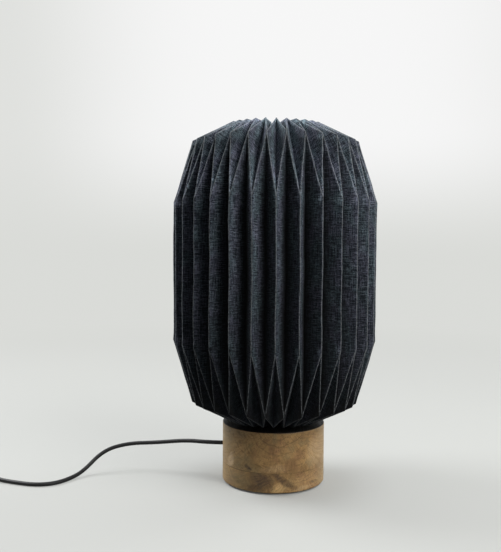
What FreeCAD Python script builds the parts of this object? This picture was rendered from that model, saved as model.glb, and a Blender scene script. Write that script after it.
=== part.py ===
import FreeCAD, Part
import math
import os
import Sketcher

Vector = FreeCAD.Vector

# Driving sizes: millimetres, degrees where a name ends in angle, and plain counts
SIZES = (
    # Turned base of two glued wooden blocks, hollow below its deck
    ("base_radius", "50"),
    ("lower_block_height", "18.5"),
    ("upper_block_height", "38.3"),
    ("base_edge_round", "1"),
    ("base_wall", "20"),
    ("deck_thick", "8"),
    # Felt disc and the cover that closes the hollow
    ("felt_thick", "1.5"),
    ("felt_inset", "4"),
    ("cover_ledge", "10"),
    ("cover_thick", "3"),
    ("cover_play", "0.3"),
    ("cover_screw_count", "3"),
    ("cover_screw_radius", "1.5"),
    ("cover_screw_length", "12"),
    ("screw_head_radius", "2.8"),
    ("screw_head_height", "1.5"),
    ("screw_play", "0.1"),
    # Threaded tube through the deck, with its washer and lock nut
    ("nipple_radius", "5"),
    ("nipple_bore_radius", "3.6"),
    ("nipple_reach", "9"),
    ("nipple_proud", "1.5"),
    ("washer_radius", "12"),
    ("washer_thick", "1.2"),
    ("nut_corner_radius", "8"),
    ("nut_height", "4"),
    ("thread_play", "0.05"),
    ("deck_hole_play", "0.2"),
    # Lampholder
    ("holder_radius", "19.2"),
    ("holder_wall", "1.8"),
    ("holder_floor", "3"),
    ("holder_chamfer", "1.5"),
    ("holder_cap_height", "24"),
    ("boss_wall", "3.5"),
    ("block_height", "12"),
    ("block_ledge", "1.4"),
    ("block_play", "0.15"),
    ("shell_bore_radius", "13.4"),
    ("shell_wall", "0.4"),
    ("shell_height", "24"),
    ("shell_foot", "2"),
    ("skirt_height", "30"),
    ("skirt_lip", "2"),
    ("skirt_mouth_play", "0.5"),
    ("contact_thick", "0.5"),
    ("contact_width", "5"),
    ("contact_rise", "2.4"),
    ("contact_half_length", "8"),
    # Ring that clamps the shade to the base
    ("ring_flange", "10"),
    ("ring_thick", "2.5"),
    ("ring_hub_height", "9"),
    ("ring_hub_wall", "2.2"),
    ("ring_play", "0.15"),
    ("ring_notch_count", "12"),
    ("ring_notch_radius", "1.6"),
    # Lamp bulb
    ("bulb_tip_radius", "4.8"),
    ("bulb_tip_thick", "1.2"),
    ("bulb_seat_play", "0.1"),
    ("insulator_height", "4"),
    ("insulator_wide_radius", "10.5"),
    ("bulb_cap_length", "22"),
    ("bulb_thread_room", "0.4"),
    ("bulb_neck_radius", "14.6"),
    ("bulb_neck_height", "5"),
    ("housing_height", "38"),
    ("housing_flare_radius", "60"),
    ("globe_rim_radius", "28"),
    ("globe_radius", "30"),
    ("globe_wall", "1.2"),
    # Folded shade: lengths along the flat sheet, and the outer radius of the ridges
    ("pleat_count", "30"),
    ("pleat_width", "20"),
    ("shade_radius", "98.3"),
    ("band_height", "138.4"),
    ("shoulder_height", "58"),
    ("brow_height", "33.7"),
    ("sheet_thick", "0.5"),
    ("shade_turn_angle", "0.6"),
    ("shade_hole_play", "0.8"),
    ("seat_play", "0.2"),
    ("thread_radius", "0.6"),
    ("thread_inset", "5"),
    # Flex, its bush in the base and its stop inside
    ("flex_radius", "2"),
    ("flex_exit_height", "35"),
    ("flex_play", "0.1"),
    ("bush_wall", "2"),
    ("bush_set_back", "0.3"),
    ("stop_wall", "3.5"),
    ("stop_length", "6"),
    ("lead_bend", "10"),
    ("lead_room", "9.5"),
    ("lead_straight", "3"),
    ("floor_play", "0.05"),
    # Inline switch
    ("switch_length", "56"),
    ("switch_width", "24"),
    ("switch_corner", "8"),
    ("switch_edge_round", "1.6"),
    ("switch_lower_height", "6"),
    ("switch_upper_height", "6.5"),
    ("switch_floor", "1.6"),
    ("sleeve_length", "20"),
    ("sleeve_wide_radius", "4.8"),
    ("sleeve_wall", "1"),
    ("rocker_length", "20"),
    ("rocker_width", "11"),
    ("rocker_rise", "8"),
    ("rocker_dip", "1.2"),
    ("rocker_drop", "2.4"),
    ("rocker_throw_angle", "12"),
    ("rocker_end_play", "1.2"),
    ("rocker_side_play", "0.4"),
    ("pivot_radius", "1.2"),
    ("pivot_reach", "2"),
    ("pivot_play", "0.06"),
    ("strip_length", "7"),
    ("strip_width", "5"),
    ("strip_thick", "0.5"),
    ("strip_offset", "6.5"),
    ("switch_screw_offset", "21"),
    ("switch_screw_radius", "1.2"),
    ("switch_screw_length", "9"),
    # Put-away coil and its strap
    ("coil_radius", "27.5"),
    ("coil_pitch", "4.6"),
    ("coil_layer_count", "4"),
    ("coil_turn_count", "9.5"),
    ("strap_thick", "0.8"),
    ("strap_width", "12"),
    ("strap_play", "0.25"),
    # Two-pin plug
    ("plug_width", "35.3"),
    ("plug_thick", "13.7"),
    ("plug_length", "30"),
    ("plug_tail_width", "17"),
    ("plug_tail_thick", "11"),
    ("relief_length", "28"),
    ("relief_wide_radius", "5"),
    ("relief_wall", "1"),
    ("plug_pin_radius", "2"),
    ("plug_pin_length", "19"),
    ("plug_pin_spacing", "18.6"),
    # How far every cut runs past the face that it opens
    ("cut_overrun", "1"),
)

# Shares of the sizes that they follow
FLAT_SIDE_SHARE = 0.72
CONTACT_FOOT_SHARE = 0.5
ARC_RUN_SHARE = 0.45
CLIMB_TURN_SHARE = 0.5
NEAR_TURN_SHARE = 0.33
HEADING_TURN_SHARE = 1e-4

# The flex's way from its exit in the base to the switch's sleeve, chosen by hand
FLEX_TO_SWITCH = (
    (-64.0, 0.0, 35.0),
    (-88.0, 10.0, 34.0),
    (-119.0, 19.0, 28.7),
    (-150.0, 24.5, 25.9),
    (-174.0, 16.5, 20.3),
    (-190.0, -2.0, 3.9),
    (-199.0, -20.0, 2.05),
    (-210.0, -34.5, 2.05),
    (-227.0, -38.5, 2.05),
    (-247.0, -33.0, 2.05),
    (-267.0, -26.5, 2.5),
    (-288.0, -14.0, 6.0),
    (-304.0, -14.0, 6.0),
)
# From the switch to the coil and from the coil to the plug: steps along and across, and heights
FLEX_TO_COIL_STEPS = (
    (-10.0, 0.0, 6.0),
    (-24.0, 0.0, 3.05),
    (-36.0, 0.0, 3.05),
)
FLEX_TO_PLUG_STEPS = (
    (12.0, 0.0, 16.85),
    (28.0, -1.0, 15.0),
    (44.0, -3.0, 9.6),
    (57.0, -2.0, 6.9),
    (69.0, -2.0, 6.9),
)
COIL_START_ANGLE = 90.0
QUARTER_COUNT = 4
GAP_POINT_COUNT = 60

TOLERANCE = 1e-6
NUT_SIDE_COUNT = 6
LEFT, RIGHT = "left", "right"
START, END, CENTRE = range(1, 4)
H_AXIS, V_AXIS = range(-1, -3, -1)

document = FreeCAD.newDocument("OrigamiLamp")
sheet = document.addObject("Spreadsheet::Sheet", "Sizes")


class Size:
    """A value of the sheet, or a sum of them: its number now and the expression that follows the sheet."""

    def __init__(self, value, text):
        self.value = value
        self.text = text

    def __add__(self, other):
        return Size(self.value + other.value, f"({self.text} + {other.text})")

    def __sub__(self, other):
        return Size(self.value - other.value, f"({self.text} - {other.text})")

    def __mul__(self, share):
        return Size(self.value * share, f"({self.text} * {share})")

    def __truediv__(self, share):
        return Size(self.value / share, f"({self.text} / {share})")

    def __neg__(self):
        return Size(-self.value, f"(-{self.text})")

    def leg(self, other):
        """The other short side of a right triangle whose long side is this size."""
        value = math.sqrt(self.value**2 - other.value**2)
        return Size(value, f"sqrt({self.text}^2 - {other.text}^2)")


ZERO = Size(0.0, "0")


class Sheet:
    """The driving sizes by name."""

    def __init__(self):
        for row, (alias, text) in enumerate(SIZES, start=1):
            sheet.set(f"A{row}", alias)
            sheet.set(f"B{row}", text)
            sheet.setAlias(f"B{row}", alias)
        document.recompute()

    def __getattr__(self, alias):
        return Size(float(sheet.get(alias)), f"{sheet.Name}.{alias}")


size = Sheet()


# Heights and radii that several pieces share
wood_bottom = size.felt_thick
seam = wood_bottom + size.lower_block_height
base_top = seam + size.upper_block_height
deck_bottom = base_top - size.deck_thick
cavity_radius = size.base_radius - size.base_wall
cover_radius = cavity_radius + size.cover_ledge
cover_screw_circle = (cavity_radius + cover_radius) / 2
bush_radius = size.flex_radius + size.flex_play + size.bush_wall
nut_bottom = deck_bottom - size.washer_thick - size.nut_height
nipple_bottom = nut_bottom - size.nipple_proud
stop_radius = size.flex_radius + size.flex_play + size.stop_wall
stop_seat = cavity_radius.leg(stop_radius) - size.flex_play
cap_top = base_top + size.holder_cap_height
block_radius = size.holder_radius - size.holder_wall - size.block_play
block_bottom = cap_top - size.block_height
tip_bottom = cap_top + size.contact_rise + size.contact_thick + size.bulb_seat_play
insulator_bottom = tip_bottom + size.bulb_tip_thick + size.bulb_seat_play
bulb_cap_bottom = insulator_bottom + size.insulator_height
neck_bottom = bulb_cap_bottom + size.bulb_cap_length
globe_rim = neck_bottom + size.housing_height
bulb_cap_radius = size.shell_bore_radius - size.bulb_thread_room
shade_seat = base_top + size.seat_play
hole_radius = size.holder_radius + size.shade_hole_play
sleeve_tip_radius = size.flex_radius + size.sleeve_wall
coil_turn_drop = size.coil_pitch * (size.coil_turn_count.value / size.coil_layer_count.value)
coil_inner_radius = size.coil_radius - coil_turn_drop


def origin_feature(body, role):
    return next(item for item in body.Origin.OriginFeatures if item.Role == role)


def new_body(label):
    body = document.addObject("PartDesign::Body", label)
    body.Label = label
    return body


def new_sketch(body, plane, name, level):
    """An empty sketch on an origin plane of the body, or at a level above it."""
    sketch = body.newObject("Sketcher::SketchObject", f"{body.Label}_{name}")
    sketch.AttachmentSupport = [(origin_feature(body, plane), "")]
    sketch.MapMode = "FlatFace"
    if level.value:
        sketch.setExpression("AttachmentOffset.Base.z", level.text)
    return sketch


def pin_coordinate(sketch, kind, axis, edge, vertex, place):
    if place.value == 0:
        sketch.addConstraint(Sketcher.Constraint("PointOnObject", edge, vertex, axis))
        return
    index = sketch.addConstraint(Sketcher.Constraint(kind, edge, vertex, place.value))
    sketch.setExpression(f"Constraints[{index}]", place.text)


def draw_arc(sketch, start, end, radius, side):
    """An arc of under a half circle whose centre lies to the given side of the way from start to end."""
    chord = end - start
    across = Vector(-chord.y, chord.x, 0).normalize()
    rise = math.sqrt(radius.value**2 - (chord.Length / 2) ** 2)
    if side == RIGHT:
        across = -across
    centre = (start + end) / 2 + across * rise
    angles = [math.atan2(point.y - centre.y, point.x - centre.x) for point in (start, end)]
    circle = Part.Circle(centre, Vector(0, 0, 1), radius.value)
    ends = (START, END)
    if side == RIGHT:
        angles.reverse()
        ends = (END, START)
    edge = sketch.addGeometry(Part.ArcOfCircle(circle, *angles))
    index = sketch.addConstraint(Sketcher.Constraint("Radius", edge, radius.value))
    sketch.setExpression(f"Constraints[{index}]", radius.text)
    return edge, *ends


def outline(body, plane, name, corners, arcs=None, level=ZERO):
    """A closed outline of sizes on one of the body's planes; arcs are keyed by the corner that they leave."""
    sketch = new_sketch(body, plane, name, level)
    arcs = arcs or {}
    points = [Vector(across.value, up.value, 0) for across, up in corners]
    edges = []
    for index, start in enumerate(points):
        end = points[(index + 1) % len(points)]
        if index in arcs:
            edges.append(draw_arc(sketch, start, end, *arcs[index]))
        else:
            edges.append((sketch.addGeometry(Part.LineSegment(start, end)), START, END))
    for index, (edge, first, last) in enumerate(edges):
        following, following_first, _ = edges[(index + 1) % len(edges)]
        sketch.addConstraint(Sketcher.Constraint("Coincident", edge, last, following, following_first))
        pin_coordinate(sketch, "DistanceX", V_AXIS, edge, first, corners[index][0])
        pin_coordinate(sketch, "DistanceY", H_AXIS, edge, first, corners[index][1])
    return sketch


def circles(body, plane, name, centres, radius, level=ZERO):
    """Circles of one radius on one of the body's planes."""
    sketch = new_sketch(body, plane, name, level)
    for across, up in centres:
        centre = Vector(across.value, up.value, 0)
        edge = sketch.addGeometry(Part.Circle(centre, Vector(0, 0, 1), radius.value))
        index = sketch.addConstraint(Sketcher.Constraint("Radius", edge, radius.value))
        sketch.setExpression(f"Constraints[{index}]", radius.text)
        pin_coordinate(sketch, "DistanceX", V_AXIS, edge, CENTRE, across)
        pin_coordinate(sketch, "DistanceY", H_AXIS, edge, CENTRE, up)
    return sketch


def bind(item, **sizes):
    for name, value in sizes.items():
        item.setExpression(name, value.text)


def place(item, along=ZERO, up=ZERO, turn=None):
    """Puts a sub-part where its sizes say, after an optional turn."""
    turn = turn or FreeCAD.Rotation()
    item.Placement = FreeCAD.Placement(Vector(along.value, 0, up.value), turn)
    for axis, value in (("x", along), ("z", up)):
        if value.value:
            item.setExpression(f"Placement.Base.{axis}", value.text)


def turned(label, corners, arcs=None):
    """A piece turned about its own Z axis."""
    body = new_body(label)
    turn = body.newObject("PartDesign::Revolution", f"{label}_turn")
    turn.Profile = outline(body, "XZ_Plane", "profile", corners, arcs)
    turn.ReferenceAxis = (turn.Profile[0], ["V_Axis"])
    turn.Angle = 360
    body.Tip = turn
    return body


def padded(label, plane, corners, thick, arcs=None, both_ways=False):
    """A piece of one outline and one thickness."""
    body = new_body(label)
    pad = body.newObject("PartDesign::Pad", f"{label}_pad")
    pad.Profile = outline(body, plane, "profile", corners, arcs)
    bind(pad, Length=thick)
    pad.Midplane = both_ways
    body.Tip = pad
    return body


def cut(body, sketch, depth, backwards=False, both_ways=False):
    """A pocket in a body, which has to take something away."""
    document.recompute()
    before = body.Shape.Volume
    pocket = body.newObject("PartDesign::Pocket", f"{sketch.Label}_cut")
    pocket.Profile = sketch
    bind(pocket, Length=depth)
    pocket.Reversed = backwards
    pocket.Midplane = both_ways
    body.Tip = pocket
    document.recompute()
    if not body.Shape.Volume < before:
        raise ValueError(f"{sketch.Label} cuts nothing")
    return pocket


def repeat_around(body, features, count):
    pattern = body.newObject("PartDesign::PolarPattern", f"{body.Label}_pattern")
    pattern.Originals = features
    pattern.Axis = (origin_feature(body, "Z_Axis"), [""])
    pattern.Angle = 360
    bind(pattern, Occurrences=count)
    body.Tip = pattern
    return pattern


def rounded(body, radius, level):
    """Rounds every edge that lies at one height of the body's own frame."""
    document.recompute()
    base = body.Tip
    names = [
        f"Edge{number}" for number, edge in enumerate(base.Shape.Edges, start=1)
        if all(abs(vertex.Z - level.value) < TOLERANCE for vertex in edge.Vertexes)
    ]
    fillet = body.newObject("PartDesign::Fillet", f"{body.Label}_round")
    fillet.Base = (base, names)
    bind(fillet, Radius=radius)
    body.Tip = fillet
    return fillet


def part_object(kind, label, **sizes):
    item = document.addObject(kind, label)
    item.Label = label
    bind(item, **sizes)
    return item


def less(label, base, tool):
    item = part_object("Part::Cut", label)
    item.Base = base
    item.Tool = tool
    return item


def shaped(label, shape):
    item = part_object("Part::Feature", label)
    item.Shape = shape
    return item


def grouped(label, pattern_piece, placements):
    """Copies of one small piece as the separate solids of one sub-part."""
    document.recompute()
    copies = []
    for placement in placements:
        copy = pattern_piece.Shape.copy()
        copy.Placement = placement.multiply(copy.Placement)
        copies.append(copy)
    return shaped(label, Part.makeCompound(copies))


def rounded_plate(half_length, half_width, corner):
    """Corners and arcs of a plate about the origin, with round corners."""
    reach_x = half_length - corner
    reach_y = half_width - corner
    corners = (
        (-reach_x, -half_width), (reach_x, -half_width),
        (half_length, -reach_y), (half_length, reach_y),
        (reach_x, half_width), (-reach_x, half_width),
        (-half_length, reach_y), (-half_length, -reach_y),
    )
    return corners, {index: (corner, LEFT) for index in (1, 3, 5, 7)}


def rectangle(half_length, half_width):
    return (
        (-half_length, -half_width), (half_length, -half_width),
        (half_length, half_width), (-half_length, half_width),
    )


def ring_corners(inner, outer, bottom, top):
    return ((inner, bottom), (outer, bottom), (outer, top), (inner, top))


# Base

def make_lower_block():
    ledge = wood_bottom + size.cover_thick + size.cover_play
    rebate = cover_radius + size.cover_play
    block = turned("base_lower_block", (
        (rebate, wood_bottom), (size.base_radius - size.base_edge_round, wood_bottom),
        (size.base_radius, wood_bottom + size.base_edge_round), (size.base_radius, seam),
        (cavity_radius, seam), (cavity_radius, ledge), (rebate, ledge),
    ), {1: (size.base_edge_round, LEFT)})
    pilot = circles(block, "XY_Plane", "pilot", [(cover_screw_circle, ZERO)],
                    size.cover_screw_radius + size.screw_play)
    pilot_depth = wood_bottom + size.screw_head_height + size.cover_screw_length + size.screw_play
    holes = cut(block, pilot, pilot_depth, backwards=True)
    repeat_around(block, [holes], size.cover_screw_count)
    return block


def make_upper_block():
    hole = size.nipple_radius + size.deck_hole_play
    block = turned("base_upper_block", (
        (cavity_radius, seam), (size.base_radius, seam),
        (size.base_radius, base_top - size.base_edge_round),
        (size.base_radius - size.base_edge_round, base_top),
        (hole, base_top), (hole, deck_bottom), (cavity_radius, deck_bottom),
    ), {2: (size.base_edge_round, LEFT)})
    side_hole = circles(block, "YZ_Plane", "side_hole", [(ZERO, size.flex_exit_height)],
                        bush_radius + size.flex_play)
    cut(block, side_hole, size.base_radius + size.cut_overrun)
    return block


def make_felt():
    return part_object("Part::Cylinder", "felt_pad", Radius=size.base_radius - size.felt_inset,
                       Height=size.felt_thick)


def make_cover():
    cover = turned("base_cover", (
        (ZERO, wood_bottom), (cover_radius, wood_bottom),
        (cover_radius, wood_bottom + size.cover_thick), (ZERO, wood_bottom + size.cover_thick),
    ))
    head = circles(cover, "XY_Plane", "head_seat", [(cover_screw_circle, ZERO)],
                   size.screw_head_radius + size.screw_play)
    heads = cut(cover, head, wood_bottom + size.screw_head_height, backwards=True)
    shank = circles(cover, "XY_Plane", "shank_hole", [(cover_screw_circle, ZERO)],
                    size.cover_screw_radius + size.screw_play)
    shanks = cut(cover, shank, wood_bottom + size.cover_thick + size.cut_overrun, backwards=True)
    repeat_around(cover, [heads, shanks], size.cover_screw_count)
    return cover


def make_screw(label, shank_radius, shank_length):
    """A cheese-head screw, head down, with the head's lower face at its origin."""
    top = size.screw_head_height + shank_length
    return turned(label, (
        (ZERO, ZERO), (size.screw_head_radius, ZERO), (size.screw_head_radius, size.screw_head_height),
        (shank_radius, size.screw_head_height), (shank_radius, top), (ZERO, top),
    ))


def make_cover_screws():
    screw = make_screw("cover_screw_pattern", size.cover_screw_radius, size.cover_screw_length)
    count = int(size.cover_screw_count.value)
    seat = Vector(cover_screw_circle.value, 0, wood_bottom.value)
    spots = []
    for number in range(count):
        turn = FreeCAD.Rotation(Vector(0, 0, 1), 360 * number / count)
        spots.append(FreeCAD.Placement(turn.multVec(seat), turn))
    return grouped("cover_screws", screw, spots)


def make_nipple():
    return turned("threaded_nipple", ring_corners(
        size.nipple_bore_radius, size.nipple_radius,
        nipple_bottom, base_top + size.nipple_reach))


def make_washer():
    return turned("nipple_washer", ring_corners(
        size.nipple_radius + size.deck_hole_play, size.washer_radius,
        deck_bottom - size.washer_thick, deck_bottom))


def make_nut():
    blank = part_object("Part::Prism", "nut_blank", Circumradius=size.nut_corner_radius,
                        Height=size.nut_height)
    blank.Polygon = NUT_SIDE_COUNT
    place(blank, up=nut_bottom)
    hole = part_object("Part::Cylinder", "nut_hole", Radius=size.nipple_radius + size.thread_play,
                       Height=size.nut_height + size.cut_overrun * 2)
    place(hole, up=nut_bottom - size.cut_overrun)
    return less("nipple_nut", blank, hole)


# Lampholder

def make_holder_cap():
    bore = size.nipple_radius + size.thread_play
    boss = bore + size.boss_wall
    floor_top = base_top + size.holder_floor
    boss_top = base_top + size.nipple_reach
    wall = size.holder_radius - size.holder_wall
    ledge = wall - size.block_ledge
    return turned("lampholder_cap", (
        (bore, base_top), (size.holder_radius - size.holder_chamfer, base_top),
        (size.holder_radius, base_top + size.holder_chamfer), (size.holder_radius, cap_top),
        (wall, cap_top), (wall, block_bottom), (ledge, block_bottom), (ledge, floor_top),
        (boss, floor_top), (boss, boss_top), (bore, boss_top),
    ))


def make_terminal_block():
    return turned("terminal_block", (
        (ZERO, block_bottom), (block_radius, block_bottom), (block_radius, cap_top), (ZERO, cap_top),
    ))


def make_contact():
    """A spring tongue: its foot lies on the block and its free end rises under the bulb's tip."""
    reach = size.contact_half_length
    foot = reach * CONTACT_FOOT_SHARE
    thick = size.contact_thick
    tongue = padded("centre_contact", "XZ_Plane", (
        (-reach, ZERO), (-foot, ZERO), (foot, size.contact_rise), (foot, size.contact_rise + thick),
        (-foot, thick), (-reach, thick),
    ), size.contact_width, both_ways=True)
    place(tongue, up=cap_top)
    return tongue


def make_screw_shell():
    outer = size.shell_bore_radius + size.shell_wall
    foot_top = cap_top + size.shell_wall
    top = cap_top + size.shell_height
    return turned("lampholder_shell", (
        (size.shell_bore_radius, cap_top), (outer + size.shell_foot, cap_top),
        (outer + size.shell_foot, foot_top), (outer, foot_top), (outer, top),
        (size.shell_bore_radius, top),
    ))


def make_skirt():
    wall = size.holder_radius - size.holder_wall
    mouth = size.shell_bore_radius + size.shell_wall + size.skirt_mouth_play
    top = cap_top + size.skirt_height
    return turned("lampholder_skirt", (
        (wall, cap_top), (size.holder_radius, cap_top), (size.holder_radius, top - size.skirt_lip),
        (size.holder_radius - size.skirt_lip, top), (mouth, top), (mouth, top - size.skirt_lip),
        (wall, top - size.skirt_lip),
    ))


def make_shade_ring(seat_height):
    """The clamping ring, turned down on the lampholder until it lies on the gathered pleats."""
    bore = size.holder_radius + size.ring_play
    hub = bore + size.ring_hub_wall
    edge = size.holder_radius + size.ring_flange
    ring = turned("shade_ring", (
        (bore, ZERO), (edge, ZERO), (edge, size.ring_thick), (hub, size.ring_thick),
        (hub, size.ring_hub_height), (bore, size.ring_hub_height),
    ))
    notch = circles(ring, "XY_Plane", "grip_notch", [(edge, ZERO)], size.ring_notch_radius)
    notches = cut(ring, notch, size.ring_thick + size.cut_overrun, backwards=True)
    repeat_around(ring, [notches], size.ring_notch_count)
    ring.Placement = FreeCAD.Placement(Vector(0, 0, seat_height), FreeCAD.Rotation())
    return ring


# Bulb

def make_bulb_tip():
    return turned("bulb_tip", (
        (ZERO, tip_bottom), (size.bulb_tip_radius, tip_bottom),
        (size.bulb_tip_radius, tip_bottom + size.bulb_tip_thick), (ZERO, tip_bottom + size.bulb_tip_thick),
    ))


def make_bulb_insulator():
    return turned("bulb_insulator", (
        (ZERO, insulator_bottom), (size.bulb_tip_radius, insulator_bottom),
        (size.insulator_wide_radius, bulb_cap_bottom), (ZERO, bulb_cap_bottom),
    ))


def make_bulb_cap():
    lead_in = bulb_cap_radius - size.insulator_wide_radius
    return turned("bulb_cap", (
        (ZERO, bulb_cap_bottom), (size.insulator_wide_radius, bulb_cap_bottom),
        (bulb_cap_radius, bulb_cap_bottom + lead_in), (bulb_cap_radius, neck_bottom), (ZERO, neck_bottom),
    ))


def make_bulb_housing():
    return turned("bulb_housing", (
        (ZERO, neck_bottom), (bulb_cap_radius, neck_bottom),
        (size.bulb_neck_radius, neck_bottom + size.bulb_neck_height),
        (size.globe_rim_radius, globe_rim), (ZERO, globe_rim),
    ), {2: (size.housing_flare_radius, RIGHT)})


def make_bulb_globe():
    rise = size.globe_radius.leg(size.globe_rim_radius)
    top = globe_rim + rise + size.globe_radius
    inner = size.globe_radius - size.globe_wall
    inner_rim = inner.leg(rise)
    side = globe_rim + rise
    return turned("bulb_globe", (
        (inner_rim, globe_rim), (size.globe_rim_radius, globe_rim), (size.globe_radius, side),
        (ZERO, top), (ZERO, top - size.globe_wall), (inner, side),
    ), {
        1: (size.globe_radius, LEFT), 2: (size.globe_radius, LEFT),
        4: (inner, RIGHT), 5: (inner, RIGHT),
    })


# Folded shade

def meeting(first, first_radius, second, second_radius):
    """The lower-left point where two circles cross, as (radius, height)."""
    run = second[0] - first[0]
    climb = second[1] - first[1]
    apart = math.hypot(run, climb)
    along = (first_radius**2 - second_radius**2 + apart**2) / (2 * apart)
    aside = math.sqrt(first_radius**2 - along**2)
    east, north = run / apart, climb / apart
    return (first[0] + east * along - abs(north) * aside, first[1] + north * along - abs(east) * aside)


class Folds:
    """Outer fold corners of one pleat as (radius, height above the shoulder line)."""

    def __init__(self):
        self.half_step = math.pi / size.pleat_count.value
        cos_step, sin_step = math.cos(self.half_step), math.sin(self.half_step)
        width = size.pleat_width.value
        ridge = size.shade_radius.value
        shoulder = size.shoulder_height.value
        brow = size.brow_height.value
        valley = ridge * cos_step - math.sqrt(width**2 - (ridge * sin_step) ** 2)
        self.shoulder = (ridge, 0.0)
        self.notch = (valley, shoulder)
        brow_reach = math.sqrt(width**2 + brow**2 - (valley * sin_step) ** 2)
        self.brow = meeting(self.shoulder, shoulder + brow, (valley * cos_step, shoulder), brow_reach)
        hole = hole_radius.value
        self.ridge_end = (hole, self.brow[1])
        end_reach = math.sqrt(width**2 - (hole * sin_step) ** 2)
        valley_run = brow + self.brow[0] - hole
        self.valley_end = meeting(self.notch, valley_run, (hole * cos_step, self.brow[1]), end_reach)
        self.middle = shade_seat.value + self.brow[1] + size.band_height.value / 2

    def rows(self):
        """The ridge plane's and valley plane's corners from the bottom hole to the top hole."""
        half_band = size.band_height.value / 2
        ridge = [self.shoulder, self.brow, self.ridge_end]
        valley = [self.notch, self.valley_end]
        rows = []
        for corners in (ridge, valley):
            upper = [(radius, self.middle + half_band + height) for radius, height in corners]
            lower = [(radius, 2 * self.middle - height) for radius, height in reversed(upper)]
            rows.append(lower + upper)
        return rows


# Faces of a half pleat: R counts up the ridge plane's corners, V the valley plane's
HALF_PLEAT = (
    ("R2", "V1", "V2", "R3"),
    ("R3", "V2", "R4"), ("R4", "V2", "V3"), ("R4", "V3", "R5"),
    ("R2", "R1", "V1"), ("R1", "V0", "V1"), ("R1", "R0", "V0"),
)


def corner_at(angle, corner):
    return Vector(corner[0] * math.cos(angle), corner[0] * math.sin(angle), corner[1])


def inner_corner(corner, normals, at_hole):
    """Moves a fold corner in its radial plane until its faces have all gone in by the sheet's thickness.

    At the edge of a hole it only moves up or down, so that the hole keeps its radius.
    """
    a = b = c = p = q = 0.0
    for across, up in normals:
        a += across * across
        b += across * up
        c += up * up
        p -= across * size.sheet_thick.value
        q -= up * size.sheet_thick.value
    if at_hole:
        return (corner[0], corner[1] + q / c)
    scale = a * c - b * b
    return (corner[0] + (p * c - q * b) / scale, corner[1] + (q * a - p * b) / scale)


def inner_rows(folds, outer):
    """The same corners on the sheet's inner side."""
    angles = {"R": 0.0, "V": folds.half_step}
    rows = {"R": outer[0], "V": outer[1]}
    normals = {}
    for face in HALF_PLEAT:
        points = [corner_at(angles[key[0]], rows[key[0]][int(key[1])]) for key in face]
        normal = (points[1] - points[0]).cross(points[2] - points[0]).normalize()
        for key in face:
            angle = angles[key[0]]
            across = normal.x * math.cos(angle) + normal.y * math.sin(angle)
            normals.setdefault(key, []).append((across, normal.z))
    inner = []
    for plane, corners in rows.items():
        ends = (corners[0], corners[-1])
        inner.append([
            inner_corner(corner, normals[f"{plane}{index}"], corner in ends)
            for index, corner in enumerate(corners)
        ])
    return inner


def make_shade(folds):
    """The folded sheet: pleats round a band, turned inside out in a diamond at each shoulder."""
    outer = folds.rows()
    inner = inner_rows(folds, outer)
    sides = {"outer": outer, "inner": inner}
    faces = []

    def point(side, plane, index, angle):
        return corner_at(angle, sides[side]["RV".index(plane)][index])

    def add(points):
        faces.append(Part.Face(Part.makePolygon(points + points[:1])))

    for pleat in range(int(size.pleat_count.value)):
        ridge_angle = 2 * folds.half_step * pleat
        for way in (1, -1):
            angle = {"R": ridge_angle, "V": ridge_angle + way * folds.half_step}
            for side in sides:
                for face in HALF_PLEAT:
                    add([point(side, key[0], int(key[1]), angle[key[0]]) for key in face])
            for ridge_row, valley_row in ((0, 0), (-1, -1)):
                rim = [
                    point("outer", "R", ridge_row, angle["R"]), point("outer", "V", valley_row, angle["V"]),
                    point("inner", "V", valley_row, angle["V"]), point("inner", "R", ridge_row, angle["R"]),
                ]
                add(rim[:3])
                add(rim[:1] + rim[2:])
    shell = Part.makeShell(faces)
    shell.sewShape()
    solid = Part.makeSolid(shell)
    if solid.Volume < 0:
        solid.reverse()
    shade = shaped("shade_sheet", solid)
    turn = FreeCAD.Rotation(Vector(0, 0, 1), size.shade_turn_angle.value - 90)
    shade.Placement = FreeCAD.Placement(Vector(), turn)
    return shade


def make_gather_threads(folds):
    """The two threads that run through every pleat near the holes and draw them together."""
    half_pleat = size.pleat_width.value / 2
    lowest = shade_seat.value
    highest = 2 * folds.middle - lowest
    threads = []
    for label, height in (
        ("lower_gather_thread", lowest + half_pleat), ("upper_gather_thread", highest - half_pleat),
    ):
        thread = part_object("Part::Torus", label, Radius1=hole_radius + size.thread_inset,
                             Radius2=size.thread_radius)
        thread.Placement = FreeCAD.Placement(Vector(0, 0, height), FreeCAD.Rotation())
        threads.append(thread)
    return threads


# Flex

def arc_edge(start, corner, end):
    """The arc that leaves start and reaches end along the two sides of a corner."""
    way_in = (corner - start).normalize()
    way_out = (end - corner).normalize()
    half_turn = way_in.getAngle(way_out) / 2
    middle = corner + ((start + end) / 2 - corner) / (1 + math.cos(half_turn))
    return Part.Arc(start, middle, end).toShape()


def rounded_path(points, bend=None):
    """Straight runs joined by tangent arcs, each as large as its runs allow unless a bend is given."""
    edges = []
    radii = []
    at = points[0]
    for before, corner, after in zip(points, points[1:], points[2:]):
        way_in = (corner - before).normalize()
        way_out = (after - corner).normalize()
        slope = math.tan(way_in.getAngle(way_out) / 2)
        trim = ARC_RUN_SHARE * min((corner - before).Length, (after - corner).Length)
        if bend:
            trim = bend * slope
        radii.append(trim / slope)
        start, end = corner - way_in * trim, corner + way_out * trim
        edges.append(Part.LineSegment(at, start).toShape())
        edges.append(arc_edge(start, corner, end))
        at = end
    edges.append(Part.LineSegment(at, points[-1]).toShape())
    return edges, radii


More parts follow.
